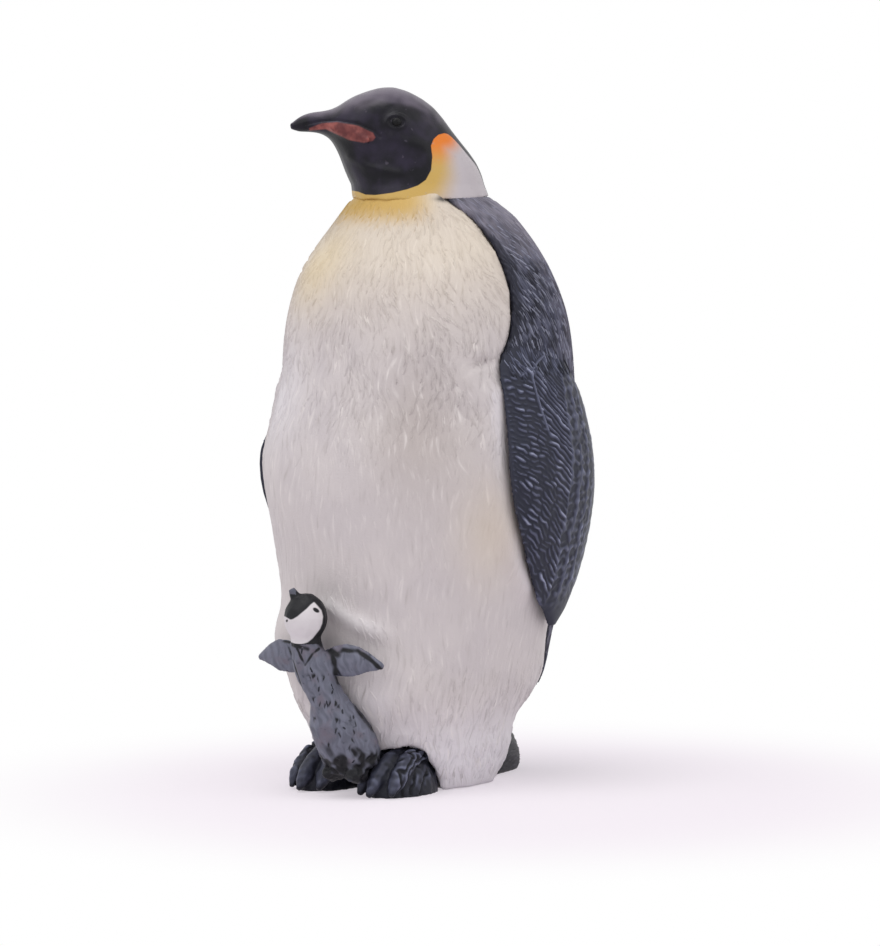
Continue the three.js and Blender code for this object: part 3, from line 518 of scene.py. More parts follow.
# The lie of the feathers, and where and how boldly they are cut
keep(body, "along", between(((0, 0), (34, 25), (52, 41), (80, 69)), height))
swirl = waver(at, 11) + 0.3 * waver(at, 6)
keep(body, "across", 0.32 * from_front / between(((40, 1.4), (72, 1.0)), height) + swirl * ruffled)
swirl = 22 * waver(at, 11) + 20 * waver(at[:, ::-1], 6)
keep(body, "flow", down_the_skin(facing, 0.42 * from_front * at_breast + 45 * pouch + swirl * ruffled))
shown = (np.abs(from_front) < 115 - 40 * ramp(height, 15, 45)) & (height > 1.2)
grown = (0.25 + 0.75 * ramp(waver(at[:, ::-1], 9), -0.4, 0.3)) * (1 - ramp(height, 74.0, 75.4))
keep(body, "cover", np.where(shown, grown * np.clip(0.05 + 0.95 * ruffled + pouch, 0, 1), 0.0))
keep(body, "bold", 0.3 + 0.7 * ramp(height, 40, 54) + pouch + 0.6 * at_hem)
cut_strokes(
    body, belly_paint, spacing=0.62, length=2.5, width=0.52, height=0.31, bend=0.34, wander=16, seed=3
)
plug_in(body, "body")


# Back mantle: a separate PVC shell that drops into the body's back and is glued. The mould's long
# feather strokes are painted slate black and dry-brushed with grey, which stays on their ridges.
def slate_paint(name, valley, ridge, brushed, roughness):
    """Dark paint in the hollows, a lighter one on the ridges, and dry-brushed grey on the crests. It looks
    dry and dusty: the relief shows by its tones more than by its shine."""
    paint, tree, shader = new_finish(name, roughness)
    shader.inputs["Specular IOR Level"].default_value = 0.22
    combed = streaks(tree, 0.45, 3.2)
    colour = coat(tree, valley, ridge, combed, 0.42, 0.66)
    colour = coat(tree, colour, brushed, combed, 0.58, 0.92)
    patchy = coat(tree, valley, ridge, blotches(tree, 2.5), 0.35, 0.62)
    colour = coat(tree, colour, patchy, "crest", 0.05, 0.5)
    colour = coat(tree, colour, brushed, on_strokes(tree, 0.15, 1.0), 0.2, 1.0)
    colour = coat(tree, colour, ridge, "relief", 0.15, 0.6)
    colour = coat(tree, colour, brushed, "relief", 0.55, 1.1)
    # Painted light: a paler grey where a piece keeps it, on the mantle's top and along a band towards its
    # back
    colour = coat(tree, colour, "#8b8693", "faded")
    # Back to the hollows' colour along a kept edge: darker on the mantle's front edge, painted shade in its
    # notch by the neck, and the dark folds of the feet
    colour = coat(tree, colour, valley, "edge")
    tree.links.new(colour, shader.inputs["Base Color"])
    uneven(tree, shader, ((combed, 0.15), (blotches(tree, 0.2), 0.015)))
    return paint


def behind_edge(turn, height):
    """Degrees from a piece's front edge round to every point, at that point's own height."""
    levels = np.arange(height.min(), height.max() + 1)
    edge = [turn[np.abs(height - level) < 1].min() for level in levels]
    return turn - np.interp(height, levels, edge)


MANTLE_RIM_INSET = 0.07  # shares of the distance from the axis
MANTLE_HEM_INSET = 0.018
# The most worn of the dark paints: its ridges are brushed nearly to a pale grey
mantle_paint = slate_paint("PVC, slate black with dry-brushed ridges", "#22232e", "#585a6c", "#a6a9bc", 0.45)
mantle = moulding("back_mantle", voxel=0.5, rounds=12)
at = places(mantle)
height = at[:, 2]
flush = 1 - MANTLE_RIM_INSET * ramp(height, 73.0, 75.9)  # the rim runs into the nape
turn = np.degrees(np.arctan2(at[:, 1], np.abs(at[:, 0])))
flush -= MANTLE_HEM_INSET * (1 - ramp(height, 22, 27)) * (1 - ramp(turn, 40, 60))  # the hem, into the flanks
place(mantle, widen(at, flush))
facing = facings(mantle)
looks_out = np.einsum("ij,ij->i", facing[:, :2], at[:, :2]) / np.maximum(np.hypot(at[:, 0], at[:, 1]), 1e-6)
to_back = np.sign(at[:, 0]) * (1 - ramp(turn, 10, 80))
under_flipper = (turn < 30) & (height > 24) & (height < 52)
keep(mantle, "along", height)
keep(mantle, "across", 0.3 * turn + 0.14 * height + 0.4 * np.maximum(height - 56, 0) + 0.7 * waver(at, 8))
keep(mantle, "flow", down_the_skin(facing, to_back * (8 + 24 * ramp(height, 50, 68)) + 16 * waver(at, 9)))
keep(mantle, "cover", np.where((looks_out > 0.3) & ~under_flipper, 1 - 0.4 * ramp(height, 69, 74), 0.0))
keep(mantle, "bold", 1 - 0.45 * ramp(height, 65, 73))
# Painted light: paler grey on the mantle's top, as lit from above, and on a band towards its back edge, as
# lit from behind
painted_mantle_light = 0.56 * ramp(height + 1.5 * waver(at, 5), 64, 74)
painted_mantle_light += 0.42 * close_to(turn + 5 * waver(at, 5) - 30, 18)
keep(mantle, "faded", painted_mantle_light * (0.85 + 0.3 * waver(at[:, ::-1], 2)))
# The front edge darker, down to the hollows' colour, and painted shade in the notch at the mantle's tip by
# the neck
rim = 0.7 * (1 - ramp(behind_edge(turn, height), 2.0, 6.0))
keep(mantle, "edge", np.maximum(rim, 0.95 * spot(turn, height, (-36, 75.9), (10, 0.8))))
cut_strokes(
    mantle, mantle_paint, spacing=0.45, length=2.7, width=0.38, height=0.32, bend=0.2, wander=14, seed=5
)
plug_in(mantle, "back_mantle")


# Flippers: PVC paddles pegged into the flanks, their tips free and their shoulders run into the mantle.
# The mould has a comb of dashes behind the leading edge, feather barbs beside a stem, and rows of
# pits along the rear edge. They are painted as the mantle is.
MM_PER_DEGREE = 0.36  # round the flank
# Lines on a flipper: heights, and degrees round from the adult's side
FLIPPER_STEM = ((28, 0), (36, -4), (42, -7), (46.5, -8.3), (49, -8.5), (50.3, -10.3), (54, -11))
FLIPPER_PIT_LINE = ((28.7, 2.3), (32, 0), (34.6, 0), (38.5, 1), (41.2, 2.5), (46.3, 3.5), (50, 5), (54, 9))
FLIPPER_CREASES = (  # degrees first, then heights
    [(-16, 54.9), (-11, 53.7), (-5.8, 55), (-0.5, 55.8)], [(-11, 53.7), (-10.3, 50.3), (-8.3, 46.5)],
)
COMB_SLANT = ((30, 40), (40, 36), (48, 20), (54, 14))  # degrees at some heights
BARB_SLANT = ((30, 40), (36, 34), (42, 36), (47, 42), (54, 50))
COMB_PITCH = 0.85
COMB_DASH = 1.4
BARB_PITCH = 0.85
PIT_PITCH = 1.2
PIT_ROW_DEGREES = 6.5
CREASE_WIDTH = 0.16
FLIPPER_RELIEF = 0.4  # from a hollow to a full ridge
FLIPPER_SUNK = 0.17  # of which this lies below the plain skin


def lot(row, cell):
    """A number from 0 to 1 drawn for every row and cell, the same on every run."""
    return np.abs(np.sin(12.9898 * row + 78.233 * cell) * 43758.5453) % 1


def blend(first, second, share):
    """The first value, or the second by its share."""
    return first + (second - first) * share


# Bluer than the mantle and nearly black in the hollows, so that every dash and barb stands out
flipper_paint = slate_paint("PVC, blue-black with dry-brushed barbs", "#101119", "#525569", "#9a9fb7", 0.45)
for node in ("left_flipper", "right_flipper"):
    flipper = moulding(node, voxel=0.17, rounds=8)
    at = places(flipper)
    side = 1 if node == "left_flipper" else -1
    height = at[:, 2]
    from_axis = at[:, :2] / np.hypot(at[:, 0], at[:, 1])[:, None]
    laid_from, laid_by = (50, 0.85) if side > 0 else (42, 1.3)  # the shoulder lies down onto the body
    sink = laid_by * ramp(height, laid_from, laid_from + 7)
    place(flipper, at - np.c_[from_axis * sink[:, None], np.zeros(len(at))])
    facing = facings(flipper)
    turn = np.degrees(np.arctan2(at[:, 1], side * at[:, 0]))
    across = turn * MM_PER_DEGREE
    looks_out = ramp(np.maximum(side * facing[:, 0], -facing[:, 1]), 0.15, 0.45)
    shaken = 0.5 * waver(at, 4.5) + 0.3 * waver(at[:, ::-1], 2.3)
    behind_lead = behind_edge(turn, height) * MM_PER_DEGREE
    behind_stem = (turn - between(FLIPPER_STEM, height)) * MM_PER_DEGREE

    # The comb of dashes
    slope = np.tan(np.radians(between(COMB_SLANT, height)))
    row = (height + across * slope) / COMB_PITCH + 0.9 * shaken
    cell = behind_lead / COMB_DASH + lot(np.floor(row), 0) + 0.25 * waver(at, 3)
    dash = 1 - np.abs(2 * (cell % 1) - 1) ** 3
    chance = lot(np.floor(row), np.floor(cell))
    comb = close_to(row % 1 - 0.5, 0.2 + 0.08 * chance) * dash * (0.3 + 0.8 * chance)

    # The barbs behind the stem
    slope = np.tan(np.radians(between(BARB_SLANT, height)))
    row = (height + across * slope) / BARB_PITCH + 0.6 * shaken
    barbs = close_to(row % 1 - 0.5, 0.25) * (0.6 + 0.7 * lot(np.floor(row), 3))
    barbs *= 0.55 + 0.45 * ramp(waver(at, 3.5), -0.5, 0.3)

    # The rows of pits
    row = (turn - between(FLIPPER_PIT_LINE, height)) / PIT_ROW_DEGREES + 0.15 * shaken
    in_row = row % 1 - 0.5
    cell = height / PIT_PITCH + lot(np.floor(row), 7) + 0.6 * shaken
    in_cell = cell % 1 - 0.5
    chance = lot(np.floor(row), np.floor(cell))
    dent = spot(in_row + 0.25 * (chance - 0.5), in_cell, (0, 0), (0.3, 0.2 + 0.16 * chance))
    pits = 0.4 + 4 * np.abs(in_row) ** 4 - (0.3 + 0.7 * chance) * dent + 0.35 * waver(at, 1.7)

    # All three together, with a clean edge, a plain rear and the creases at the shoulder
    relief = blend(comb, barbs, ramp(behind_stem, -0.3, 0.3))
    relief = blend(relief, pits, ramp(row, -0.12, 0.12))
    clean_edge = 0.1 if side > 0 else 2.5
    smooth = 1 - ramp(behind_lead, clean_edge, clean_edge + 0.35) * ramp(height, 22, 27)
    relief = blend(relief, 0.2, smooth)
    relief = blend(relief, 0.3, ramp(turn, 32, 37))
    creases = sum(
        close_to(off_line([(x * MM_PER_DEGREE, z) for x, z in line], across, height), CREASE_WIDTH)
        for line in FLIPPER_CREASES)
    relief = np.maximum(relief * (1 - ramp(height, 53.0, 54.6)), 0.85 * creases)
    flatter = 1 - 0.75 * ramp(turn, 12, 22)  # towards the rear edge
    raise_skin(flipper, (FLIPPER_RELIEF * relief - FLIPPER_SUNK) * looks_out * flatter)
    keep(flipper, "relief", relief * looks_out)
    keep(flipper, "flow", down_the_skin(facing, side * (24.0 - 10 * ramp(turn, -15, 5)) + 8 * waver(at, 5)))
    keep(flipper, "cover", np.where((looks_out > 0.3) & (height > 53.6) & (behind_lead > 0.8), 1.0, 0.0))
    keep(flipper, "bold", np.ones(len(at)))
    cut_strokes(
        flipper, flipper_paint, spacing=0.5, length=2.8, width=0.4, height=0.3, bend=0.12, wander=8, seed=7
    )
    plug_in(flipper, node)


# Head: hood, beak and neck in one PVC moulding, plugged into the body and turned aside. The hood is
# satin black, the neck white with an orange and yellow ear patch, and the beak's plate dull red.
HEAD_TURN = math.radians(HEAD_TURN_DEGREES)
NECK_SEAM_Z = 76.2
HOOD_FRONT = [  # side view, mm forward of the neck's centre and above its seam: throat to ear
    (9.8, 0.5), (8.8, 0.3), (8.0, -0.05), (6.8, -0.1), (4.7, 0.2), (2.8, 0.65), (1.4, 1.15), (0.4, 1.85),
    (-0.3, 3.1), (-0.5, 4.8), (-0.36, 6.2), (-0.75, 7.05), (-1.4, 7.6), (-2.2, 7.8),
]
EAR_PATCH = HOOD_FRONT + [(-2.7, 7.7), (-3.5, 7.1), (-4.3, 6.2), (-9.5, 0.0), (-9.5, -1.5), (9.8, -1.5)]
NAPE_STRIPE = ((0, 2.0), (5, 2.6), (7.8, 3.4))  # half widths at some heights
BEAK_PLATE = [
    (15.0, 8.5), (13.4, 9.1), (11.55, 9.25), (8.9, 8.75), (7.05, 7.85), (6.75, 7.25), (7.05, 6.8),
    (8.2, 6.55), (10.05, 6.9), (11.9, 7.8), (12.9, 8.3), (13.8, 8.25), (15.0, 8.2),
]
GAPE = [(15.5, 8.9), (13.4, 9.35), (11.55, 9.45), (8.9, 8.95), (6.9, 8.1), (6.2, 7.3)]
JAW_FOLD = [(9.9, 4.9), (7.8, 3.5), (3.8, 2.7)]
CHEEK_FOLD = [(4.4, 7.4), (2.8, 6.6), (0.6, 6.3)]
EYE = (4.05, 9.3)
EYE_LID = (1.4, 0.95)  # half sizes of the lid's rim
EYEBALL_RADIUS = 0.64
EYEBALL_RISE = 0.3
LID_RISE = 0.13
GAPE_DEPTH = 0.16
FOLD_RISE = 0.16
BEAK_TIP_RISE = 0.15  # blunts the tip
SEAM_DROP = 0.34  # how far the neck's foot comes down on the body
LIP_DROP = 0.45  # how much further its lip does in front


def inside_by(outline, across, up):
    """How far every point is inside an outline, negative outside."""
    within = np.zeros(len(across), bool)
    ring = outline + outline[:1]
    for (x0, y0), (x1, y1) in zip(ring, ring[1:]):
        crossed = (y0 > up) != (y1 > up)
        within ^= crossed & (across < x0 + (up - y0) * (x1 - x0) / (y1 - y0 if y1 != y0 else 1e-9))
    return off_line(ring, across, up) * np.where(within, 1, -1)


# Satin paint on a smooth moulding: a broad soft highlight on the crown, partly a painted highlight on the
# faces that look up, near black on the cheeks, and a few pale specks of dust. The neck's orange is sprayed
# and fades into yellow, then white.
hood_paint, tree, shader = new_finish("PVC, satin black hood", 0.38)
shader.inputs["Specular IOR Level"].default_value = 0.24
black = coat(tree, "#0a0911", "#252030", blotches(tree, 3), 0.35, 0.7)
black = coat(tree, black, "#4b4652", blotches(tree, 0.8), 0.66, 0.85)
# Painted highlight: a grey sheen on the crown
black = coat(tree, black, "#6d6572", "painted_crown_sheen")
neck = coat(tree, "#c1a05a", "#dc7a2a", "rise", 3.0, 7.0)
neck = coat(tree, neck, "#b8b1b5", "off_hood")
neck = coat(tree, neck, "#9d9697", blotches(tree, 0.6), 0.6, 1.0)
colour = coat(tree, black, neck, "patch", -0.06, 0.06)
red = coat(tree, "#5e2f30", "#9a5852", blotches(tree, 1.5), 0.3, 0.7)
colour = coat(tree, colour, red, "plate", -0.1, 0.15)
colour = coat(tree, colour, "#08070a", "eyeball", -0.05, 0.05)
tree.links.new(colour, shader.inputs["Base Color"])
uneven(tree, shader, ((blotches(tree, 0.3), 0.02),))

head = moulding("head", voxel=0.16, rounds=40)
at = places(head)
at_seam = 1 - ramp(at[:, 2] - NECK_SEAM_Z, 0.0, 1.4)
lip = at_seam ** 3 * (0.75 + 0.25 * waver(at, 4)) * ramp(-at[:, 1], -3, 3)  # laps over the collar in front
at = widen(at, 1 + 0.035 * at_seam + 0.015 * lip)
at[:, 2] -= SEAM_DROP * at_seam + LIP_DROP * lip
forward = -at[:, 0] * math.sin(HEAD_TURN) - at[:, 1] * math.cos(HEAD_TURN)
aside = at[:, 0] * math.cos(HEAD_TURN) - at[:, 1] * math.sin(HEAD_TURN)
up = at[:, 2] - NECK_SEAM_Z
from_eye = np.hypot(forward - EYE[0], up - EYE[1])
round_eye = np.hypot((forward - EYE[0]) / EYE_LID[0], (up - EYE[1]) / EYE_LID[1])
at += (eased(head, at, 120) - at) * (1 - ramp(from_eye, 1.6, 2.4))[:, None]
place(head, at)
lid = close_to(round_eye - 0.95, 0.17) - 0.8 * close_to(round_eye - 0.66, 0.13)
ball = np.sqrt(np.maximum(0, 1 - (from_eye / EYEBALL_RADIUS) ** 2))
gape = close_to(off_line(GAPE, forward, up), 0.15)
folds = close_to(off_line(JAW_FOLD, forward, up), 0.5) + close_to(off_line(CHEEK_FOLD, forward, up), 0.7)
tip = ramp(forward, 13.0, 16.5)
raise_skin(head, FOLD_RISE * folds - GAPE_DEPTH * gape + LID_RISE * lid + EYEBALL_RISE * ball
           + BEAK_TIP_RISE * tip)
patch = inside_by(EAR_PATCH, forward, up)
off_nape = np.abs(aside) - between(NAPE_STRIPE, up)
keep(head, "patch", np.where(forward < 0.5, np.minimum(patch, off_nape), patch))
faded = between(((0, 4.0), (4, 3.0), (8, 2.2)), up)
keep(head, "off_hood", (off_line(HOOD_FRONT, forward, up) - 0.9) / faded)
keep(head, "rise", up)
# Painted highlight: a grey sheen on the crown's faces that look up, kept off the eye
painted_crown_sheen = 0.8 * ramp(facings(head)[:, 2] + 0.1 * waver(at, 3), 0.28, 1.03) * ramp(from_eye, 1.2, 2.6)
keep(head, "painted_crown_sheen", painted_crown_sheen * ramp(up, 6.5, 9.5))
keep(head, "plate", inside_by(BEAK_PLATE, forward, up))
keep(head, "eyeball", EYEBALL_RADIUS - from_eye)
head.data.materials.append(hood_paint)
plug_in(head, "head")


# Feet: black PVC pads with three clawed toes each, plugged in under the belly. The toes' tops and
# the folds of skin beside them are dry-brushed with grey.
FOOT_FOLDS = (  # mm ahead of the adult's axis and above the ground, on each foot's outer side
    [(11, 5.9), (14.5, 5.3), (16.6, 3.4), (17.6, 0.6)], [(11, 5.2), (14, 4.5), (15.6, 2.8), (16.3, 0.5)],
    [(11, 4.2), (13.2, 3.5), (14.6, 2.0), (15.1, 0.4)], [(11, 2.9), (12.6, 2.1), (13.6, 0.5)],
)
FOOT_FOLD_DEPTH = 0.34
FOOT_FOLD_WIDTH = 0.2
FOOT_MIDDLE = 5.6  # mm aside from the adult's axis
# A little glossier than the back, so that the folds catch thin highlights on near black
foot_paint = slate_paint("PVC, black with grey ridges", "#121319", "#3c3e4c", "#70748a", 0.42)
for node in ("left_foot", "right_foot"):
    foot = moulding(node, voxel=0.16, rounds=6)
    at = places(foot)
    bent = at + 0.45 * np.c_[waver(at, 3.1), waver(at[:, ::-1], 2.6), waver(at, 2.2)]
    outer = ramp(np.abs(at[:, 0]) - FOOT_MIDDLE, 0.6, 1.6)
    grooves = sum(close_to(off_line(fold, -bent[:, 1], bent[:, 2]), FOOT_FOLD_WIDTH) for fold in FOOT_FOLDS)
    raise_skin(foot, 0.06 * waver(at, 1.7) - FOOT_FOLD_DEPTH * grooves * outer)
    above = np.einsum("ij,ij->i", places(foot) - eased(foot, places(foot), 30), facings(foot))
    keep(foot, "relief", 0.9 * ramp(above, -0.05, 0.16) * ramp(at[:, 2], 0.2, 1.5))
    keep(foot, "edge", 0.9 * np.clip(grooves * outer, 0, 1))
    foot.data.materials.append(foot_paint)
    plug_in(foot, node)


# Tail: a short stiff PVC wedge glued in under the mantle's hem, its feathers moulded lengthwise.
# Its paint is an almost even black, and the ridges are hardly touched by the brush.
tail_paint = slate_paint("PVC, black with worn ridges", "#1d1c22", "#2c2b32", "#4a4952", 0.45)
tail = moulding("tail", voxel=0.25, rounds=5)
at = places(tail)
facing = facings(tail)
behind = np.array((0, 1, 0)) - facing * facing[:, 1:2]
keep(tail, "flow", behind)
keep(tail, "cover", np.where(at[:, 2] > 0.6, 1.0, 0.0))
keep(tail, "bold", np.ones(len(at)))
cut_strokes(tail, tail_paint, spacing=0.55, length=3.6, width=0.5, height=0.2, bend=0.1, wander=5, seed=13)
plug_in(tail, "tail")


# Chick: one small PVC moulding, glued where it stands between the adult's feet and leans on the belly.
# Its down is slate grey under a black wash, its face white with a black cap.
CHICK_FACE = (-2.4, -23.4, 23.1)
FACE_TURN = math.radians(36)  # the way that its face is turned
FACE_MASK = [  # mm to the right of and above that place, seen from that side
    (1.78, 1.95), (2.2, 1.5), (2.7, 0.88), (2.9, 0.1), (2.8, -0.76), (2.5, -1.5), (1.6, -2.65), (0.96, -3.15),
    (-0.18, -3.5), (-0.9, -3.3), (-3.4, -2.9), (-4.0, -0.8), (-3.0, 0.1), (-1.8, 0.0), (-1.2, -0.25),
    (-0.93, -0.2), (-0.3, 0.2), (0.2, 0.63), (0.83, 1.13), (1.34, 1.64),
]
CHICK_EYES = ((2.05, 0.95, 0.46, 0.24, -35), (-1.66, -0.46, 0.2, 0.13, 60))  # right, up, half sizes, slant
CHICK_WASH = (  # lines that held the black wash: nape, flank, flippers' upper edges, breast; and their widths
    ([(3.1, 0.6), (3.0, -1.6), (2.7, -3.4), (3.9, -4.3), (4.8, -4.6)], 0.55),
    ([(4.4, -6.2), (5.8, -8.8), (7.4, -11.9), (9.2, -14.3), (10.9, -16.3)], 0.34),
    ([(4.6, -4.5), (5.5, -4.0), (7.3, -4.05), (8.8, -4.95), (10.0, -6.05), (10.5, -6.5)], 0.36),
    ([(-5.2, -5.1), (-4.3, -4.1), (-2.7, -3.3), (-0.7, -3.6), (1.0, -4.0)], 0.34),
    ([(-0.4, -4.0), (0.6, -6.0), (1.6, -4.6), (2.4, -4.0)], 0.2),
    ([(-1.6, -4.2), (-0.6, -6.6), (0.2, -9.2)], 0.16),
    ([(3.7, -4.2), (4.3, -5.4), (4.5, -7.0), (4.9, -8.2)], 0.42),
)
CHICK_NICKS = (  # nicks in the down that held the wash
    (1.15, -7.6), (1.7, -7.4), (2.25, -7.8), (3.0, -7.6), (1.7, -10.4), (2.5, -10.9), (3.1, -11.1),
    (3.8, -10.8), (4.5, -10.7), (5.0, -11.1), (1.8, -12.9), (4.5, -12.9), (6.3, -12.7), (6.9, -13.4),
    (4.5, -14.2), (6.8, -14.4), (5.1, -14.7), (6.8, -15.4), (3.6, -16.1), (6.3, -16.4),
)
CHICK_NICK = (0.17, 0.5)  # reach across and down
# Where more specks of down stand out: right, up and half sizes
CHICK_SPECKS = ((1.8, -7.6, 1.6, 0.8), (3.6, -10.4, 2.0, 1.0), (6.0, -13.7, 1.4, 1.8), (2.6, -14.7, 2.2, 1.0))
CHICK_SOLES = -17.2
CHICK_SKULL = (0.5, 0.4, 0)
CHICK_SKULL_REACH = 4.8
CHICK_CHIN = -3.4
# Matt grey under a thin wash that dried black in the nicks: the down looks soft and a little dirty, and
# the face, with no wash on it, is the cleanest white on the figure.
chick_paint, tree, shader = new_finish("PVC, slate grey with a black wash", 0.5)
combed = streaks(tree, 0.5, 2.0)
grey = coat(tree, "#5c5e6b", "#6e707f", combed, 0.3, 0.7)
grey = coat(tree, grey, "#6a6470", blotches(tree, 2.2), 0.5, 0.75)
grey = coat(tree, grey, "#41434e", blotches(tree, 0.8), 0.6, 0.8)
colour = coat(tree, grey, "#20212a", on_strokes(tree, 0.35, 0.45), 0.05, 0.5)
colour = coat(tree, colour, "#131318", "black", 0.2, 0.9)
colour = coat(tree, colour, "#d3ced1", "mask", -0.08, 0.08)
colour = coat(tree, colour, "#0f0e13", "eyes", -0.05, 0.05)
tree.links.new(colour, shader.inputs["Base Color"])
uneven(tree, shader, ((combed, 0.04), (blotches(tree, 0.5), 0.06)))

chick = moulding("chick", voxel=0.16, rounds=4)
at = places(chick)
facing = facings(chick)
from_face = at - CHICK_FACE
right = from_face[:, 0] * math.cos(FACE_TURN) + from_face[:, 1] * math.sin(FACE_TURN)
near = from_face[:, 0] * math.sin(FACE_TURN) - from_face[:, 1] * math.cos(FACE_TURN)
up = from_face[:, 2]
on_head = (np.linalg.norm(from_face - CHICK_SKULL, axis=1) < CHICK_SKULL_REACH) & (up > CHICK_CHIN)
beak = (up > 2.75) & on_head & (right < -0.5)
far_cheek = near + 1.0 - 0.9 * ((up + 1.55) / 1.55) ** 2  # rounds the mask off on the far side
mask = np.minimum(inside_by(FACE_MASK, right, up), np.where(right < -0.5, far_cheek, near + 0.6))
keep(chick, "mask", np.where(on_head, mask, -1.0))
eyes = np.full(len(at), -1.0)
for x, y, half_length, half_height, slant in CHICK_EYES:
    cos, sin = math.cos(math.radians(slant)), math.sin(math.radians(slant))
    along, over = (right - x) * cos + (up - y) * sin, (up - y) * cos - (right - x) * sin
    eyes = np.maximum(eyes, (1 - np.hypot(along / half_length, over / half_height)) * half_height)
keep(chick, "eyes", np.where(near > 0, eyes, -1.0))
patchy = waver(at, 1.9)
wash = np.max([close_to(off_line(line, right, up), wide) for line, wide in CHICK_WASH], axis=0)
nicked = right + 0.25 * waver(at[:, ::-1], 1.3)
nicks = np.max([spot(nicked, up, nick, CHICK_NICK) for nick in CHICK_NICKS], axis=0)
wash = np.maximum(wash, nicks)
towards = facing[:, 0] * math.sin(FACE_TURN) - facing[:, 1] * math.cos(FACE_TURN)
wash *= ramp(near, -4.5, -2.5) * ramp(towards - np.where(right < 1.5, 0.15, -0.2), 0.0, 0.28)
soles = 1 - ramp(up + 1.3 * waver(at, 3.3) + 0.9 * patchy, CHICK_SOLES - 1.8, CHICK_SOLES + 1.5)
lumps = waver(at[:, ::-1], 1.5)
on_down = np.maximum(wash * (0.95 + 0.3 * patchy), soles * (0.95 - 0.35 * lumps))
keep(chick, "black", np.where(on_head, np.where(beak, 0.45, 1.0), on_down))
raise_skin(chick, 0.22 * soles * lumps + 0.07 * patchy * ~on_head - 0.1 * wash * ~on_head)
specks = sum(spot(right, up, (x, y), (wide, high)) for x, y, wide, high in CHICK_SPECKS) * (near > -3.5)
keep(chick, "along", np.where(on_head, 0.0, up))
keep(chick, "across", np.where(on_head, 0.0, right + 0.3 * up + 0.4 * waver(at, 3)))
keep(chick, "flow", down_the_skin(facing, 40 * waver(at, 3)))
keep(chick, "cover", np.where(on_head | (soles > 0.5), 0.0, np.clip(0.03 + 0.3 * specks, 0, 1)))
keep(chick, "bold", np.ones(len(at)))
cut_strokes(
    chick, chick_paint, spacing=0.62, length=1.15, width=0.5, height=0.1, bend=0.1, wander=45, seed=17
)
plug_in(chick, "chick")


# Studio: a pale floor that fades into a white backdrop, a large soft light from the upper left,
# one overhead and one from the right, and a long lens at the height of the head.
def seen_by_lens(tree):
    """1 where the lens sees a surface, directly, in a reflection or through glass, and 0 for its light."""
    ways = add(tree, "ShaderNodeLightPath").outputs
    seen = add(
        tree, "ShaderNodeMath", {0: ways["Is Camera Ray"], 1: ways["Is Glossy Ray"]}, operation="MAXIMUM"
    )
    seen = add(
        tree, "ShaderNodeMath", {0: seen.outputs[0], 1: ways["Is Transmission Ray"]}, operation="MAXIMUM"
    )
    return seen.outputs[0]


FLOOR_HALF = 9  # metres
SHADOW_MIDDLE = (0.014, 0, 0)  # metres, on the side where the shadow falls
SHADOW_ENDS = (0.02, 0.065)  # the card fades into the backdrop over these distances from there
TINT_ENDS = (0.03, 0.08)
BARE_SHARE = 0.5  # of the backdrop's white in the middle
corners = [(x * FLOOR_HALF, y * FLOOR_HALF, 0) for x, y in ((-1, -1), (1, -1), (1, 1), (-1, 1))]
floor_mesh = bpy.data.meshes.new("floor")
floor_mesh.from_pydata(corners, [], [(0, 1, 2, 3)])
floor = bpy.data.objects.new("floor", floor_mesh)
bpy.context.scene.collection.objects.link(floor)
# Card has no shine at all: a white that only the figure's soft shadow dims
floor_paint, tree, shader = new_finish("matt white card", 0.9)
shader.inputs["Base Color"].default_value = linear("#f3edf3")
shader.inputs["Specular IOR Level"].default_value = 0.0
directly = seen_by_lens(tree)
where = add(tree, "ShaderNodeTexCoord").outputs["Object"]
away = add(tree, "ShaderNodeVectorMath", {0: where, 1: SHADOW_MIDDLE}, operation="DISTANCE").outputs["Value"]
bare = add(
    tree, "ShaderNodeMapRange", {0: away, 1: SHADOW_ENDS[0], 2: SHADOW_ENDS[1], 3: BARE_SHARE, 4: 1.0},
    interpolation_type="SMOOTHSTEP",
)
share = add(tree, "ShaderNodeMath", {0: bare.outputs[0], 1: directly}, operation="MULTIPLY")
tint = coat(tree, "#f6eff6", "#ffffff", away, *TINT_ENDS)
glow = add(tree, "ShaderNodeEmission", {"Color": tint, "Strength": 1.0})
faded = add(tree, "ShaderNodeMixShader", {0: share.outputs[0], 1: shader.outputs[0], 2: glow.outputs[0]})
tree.links.new(faded.outputs[0], tree.nodes["Material Output"].inputs["Surface"])
floor_mesh.materials.append(floor_paint)

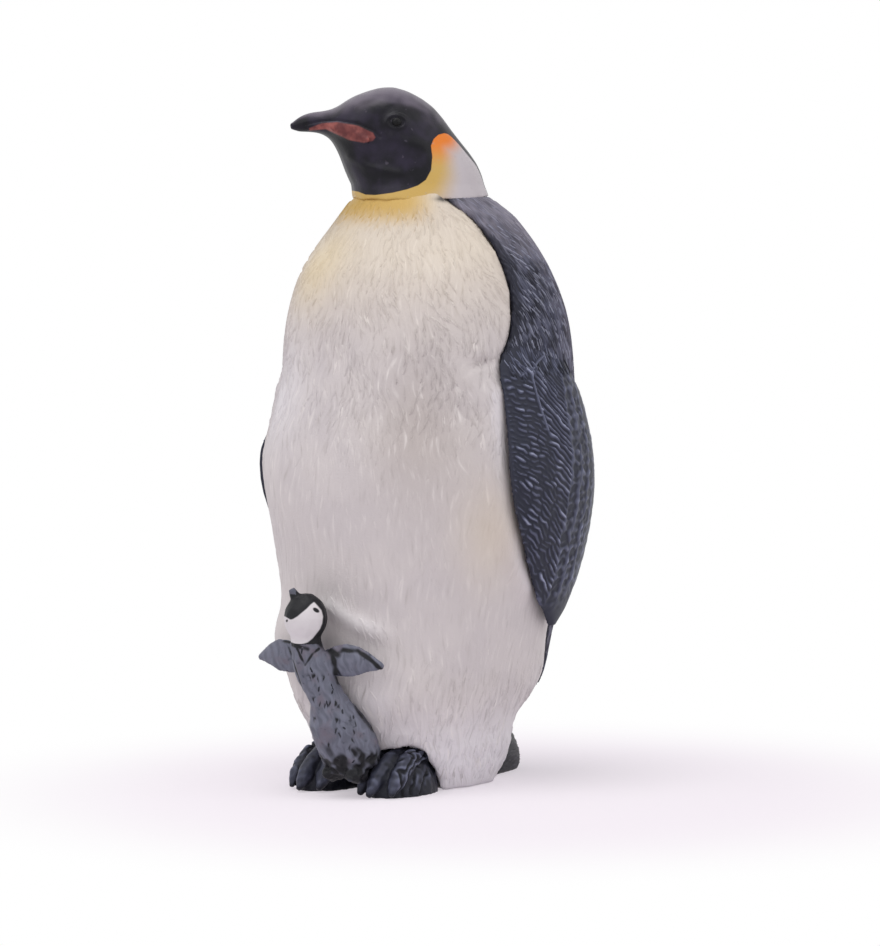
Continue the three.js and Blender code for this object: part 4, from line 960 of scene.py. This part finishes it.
SKY_LIGHT = 0.53  # the strength that lights the figure, under a backdrop seen as white
world = bpy.data.worlds.new("white studio")
world.use_nodes = True
bpy.context.scene.world = world
tree = world.node_tree
level = add(tree, "ShaderNodeMapRange", {0: seen_by_lens(tree), 3: SKY_LIGHT, 4: 1.0})
tree.links.new(level.outputs[0], tree.nodes["Background"].inputs["Strength"])
tree.nodes["Background"].inputs["Color"].default_value = (1, 1, 1, 1)


AIM_HEIGHT = 40 * MM  # the lights and the lens all face this height


def softbox(name, azimuth, elevation, distance, size, watts):
    """A square light that faces the figure from an azimuth and elevation, in degrees and metres."""
    light = bpy.data.lights.new(name, "AREA")
    light.size = size
    light.energy = watts
    lamp = bpy.data.objects.new(name, light)
    turn, tilt = math.radians(azimuth), math.radians(elevation)
    lamp.location = (
        math.sin(turn) * math.cos(tilt) * distance,
        -math.cos(turn) * math.cos(tilt) * distance,
        math.sin(tilt) * distance + AIM_HEIGHT,
    )
    lamp.rotation_euler = (math.radians(90) - tilt, 0, turn)
    bpy.context.scene.collection.objects.link(lamp)


softbox("key", azimuth=-12, elevation=42, distance=0.8, size=0.7, watts=1.9)
softbox("overhead", azimuth=10, elevation=78, distance=0.7, size=0.36, watts=1.5)
softbox("fill", azimuth=98, elevation=34, distance=0.9, size=0.8, watts=1.8)

CAMERA_AZIMUTH = math.radians(36)
CAMERA_ELEVATION = math.radians(4)
CAMERA_DISTANCE = 0.6
LENS = 175.8  # on a 36 mm frame height
AIM_RIGHT = 1.95 * MM  # of the adult's axis, in the picture
lens = bpy.data.cameras.new("camera")
lens.lens = LENS
camera = bpy.data.objects.new("camera", lens)
aim = (
    AIM_RIGHT * math.cos(CAMERA_AZIMUTH),
    AXIS_Y * MM + AIM_RIGHT * math.sin(CAMERA_AZIMUTH),
    AIM_HEIGHT,
)
camera.location = (
    aim[0] + CAMERA_DISTANCE * math.sin(CAMERA_AZIMUTH) * math.cos(CAMERA_ELEVATION),
    aim[1] - CAMERA_DISTANCE * math.cos(CAMERA_AZIMUTH) * math.cos(CAMERA_ELEVATION),
    aim[2] + CAMERA_DISTANCE * math.sin(CAMERA_ELEVATION),
)
camera.rotation_euler = (math.radians(90) - CAMERA_ELEVATION, 0, CAMERA_AZIMUTH)
bpy.context.scene.collection.objects.link(camera)
bpy.context.scene.camera = camera
bpy.context.scene.view_settings.view_transform = "Standard"
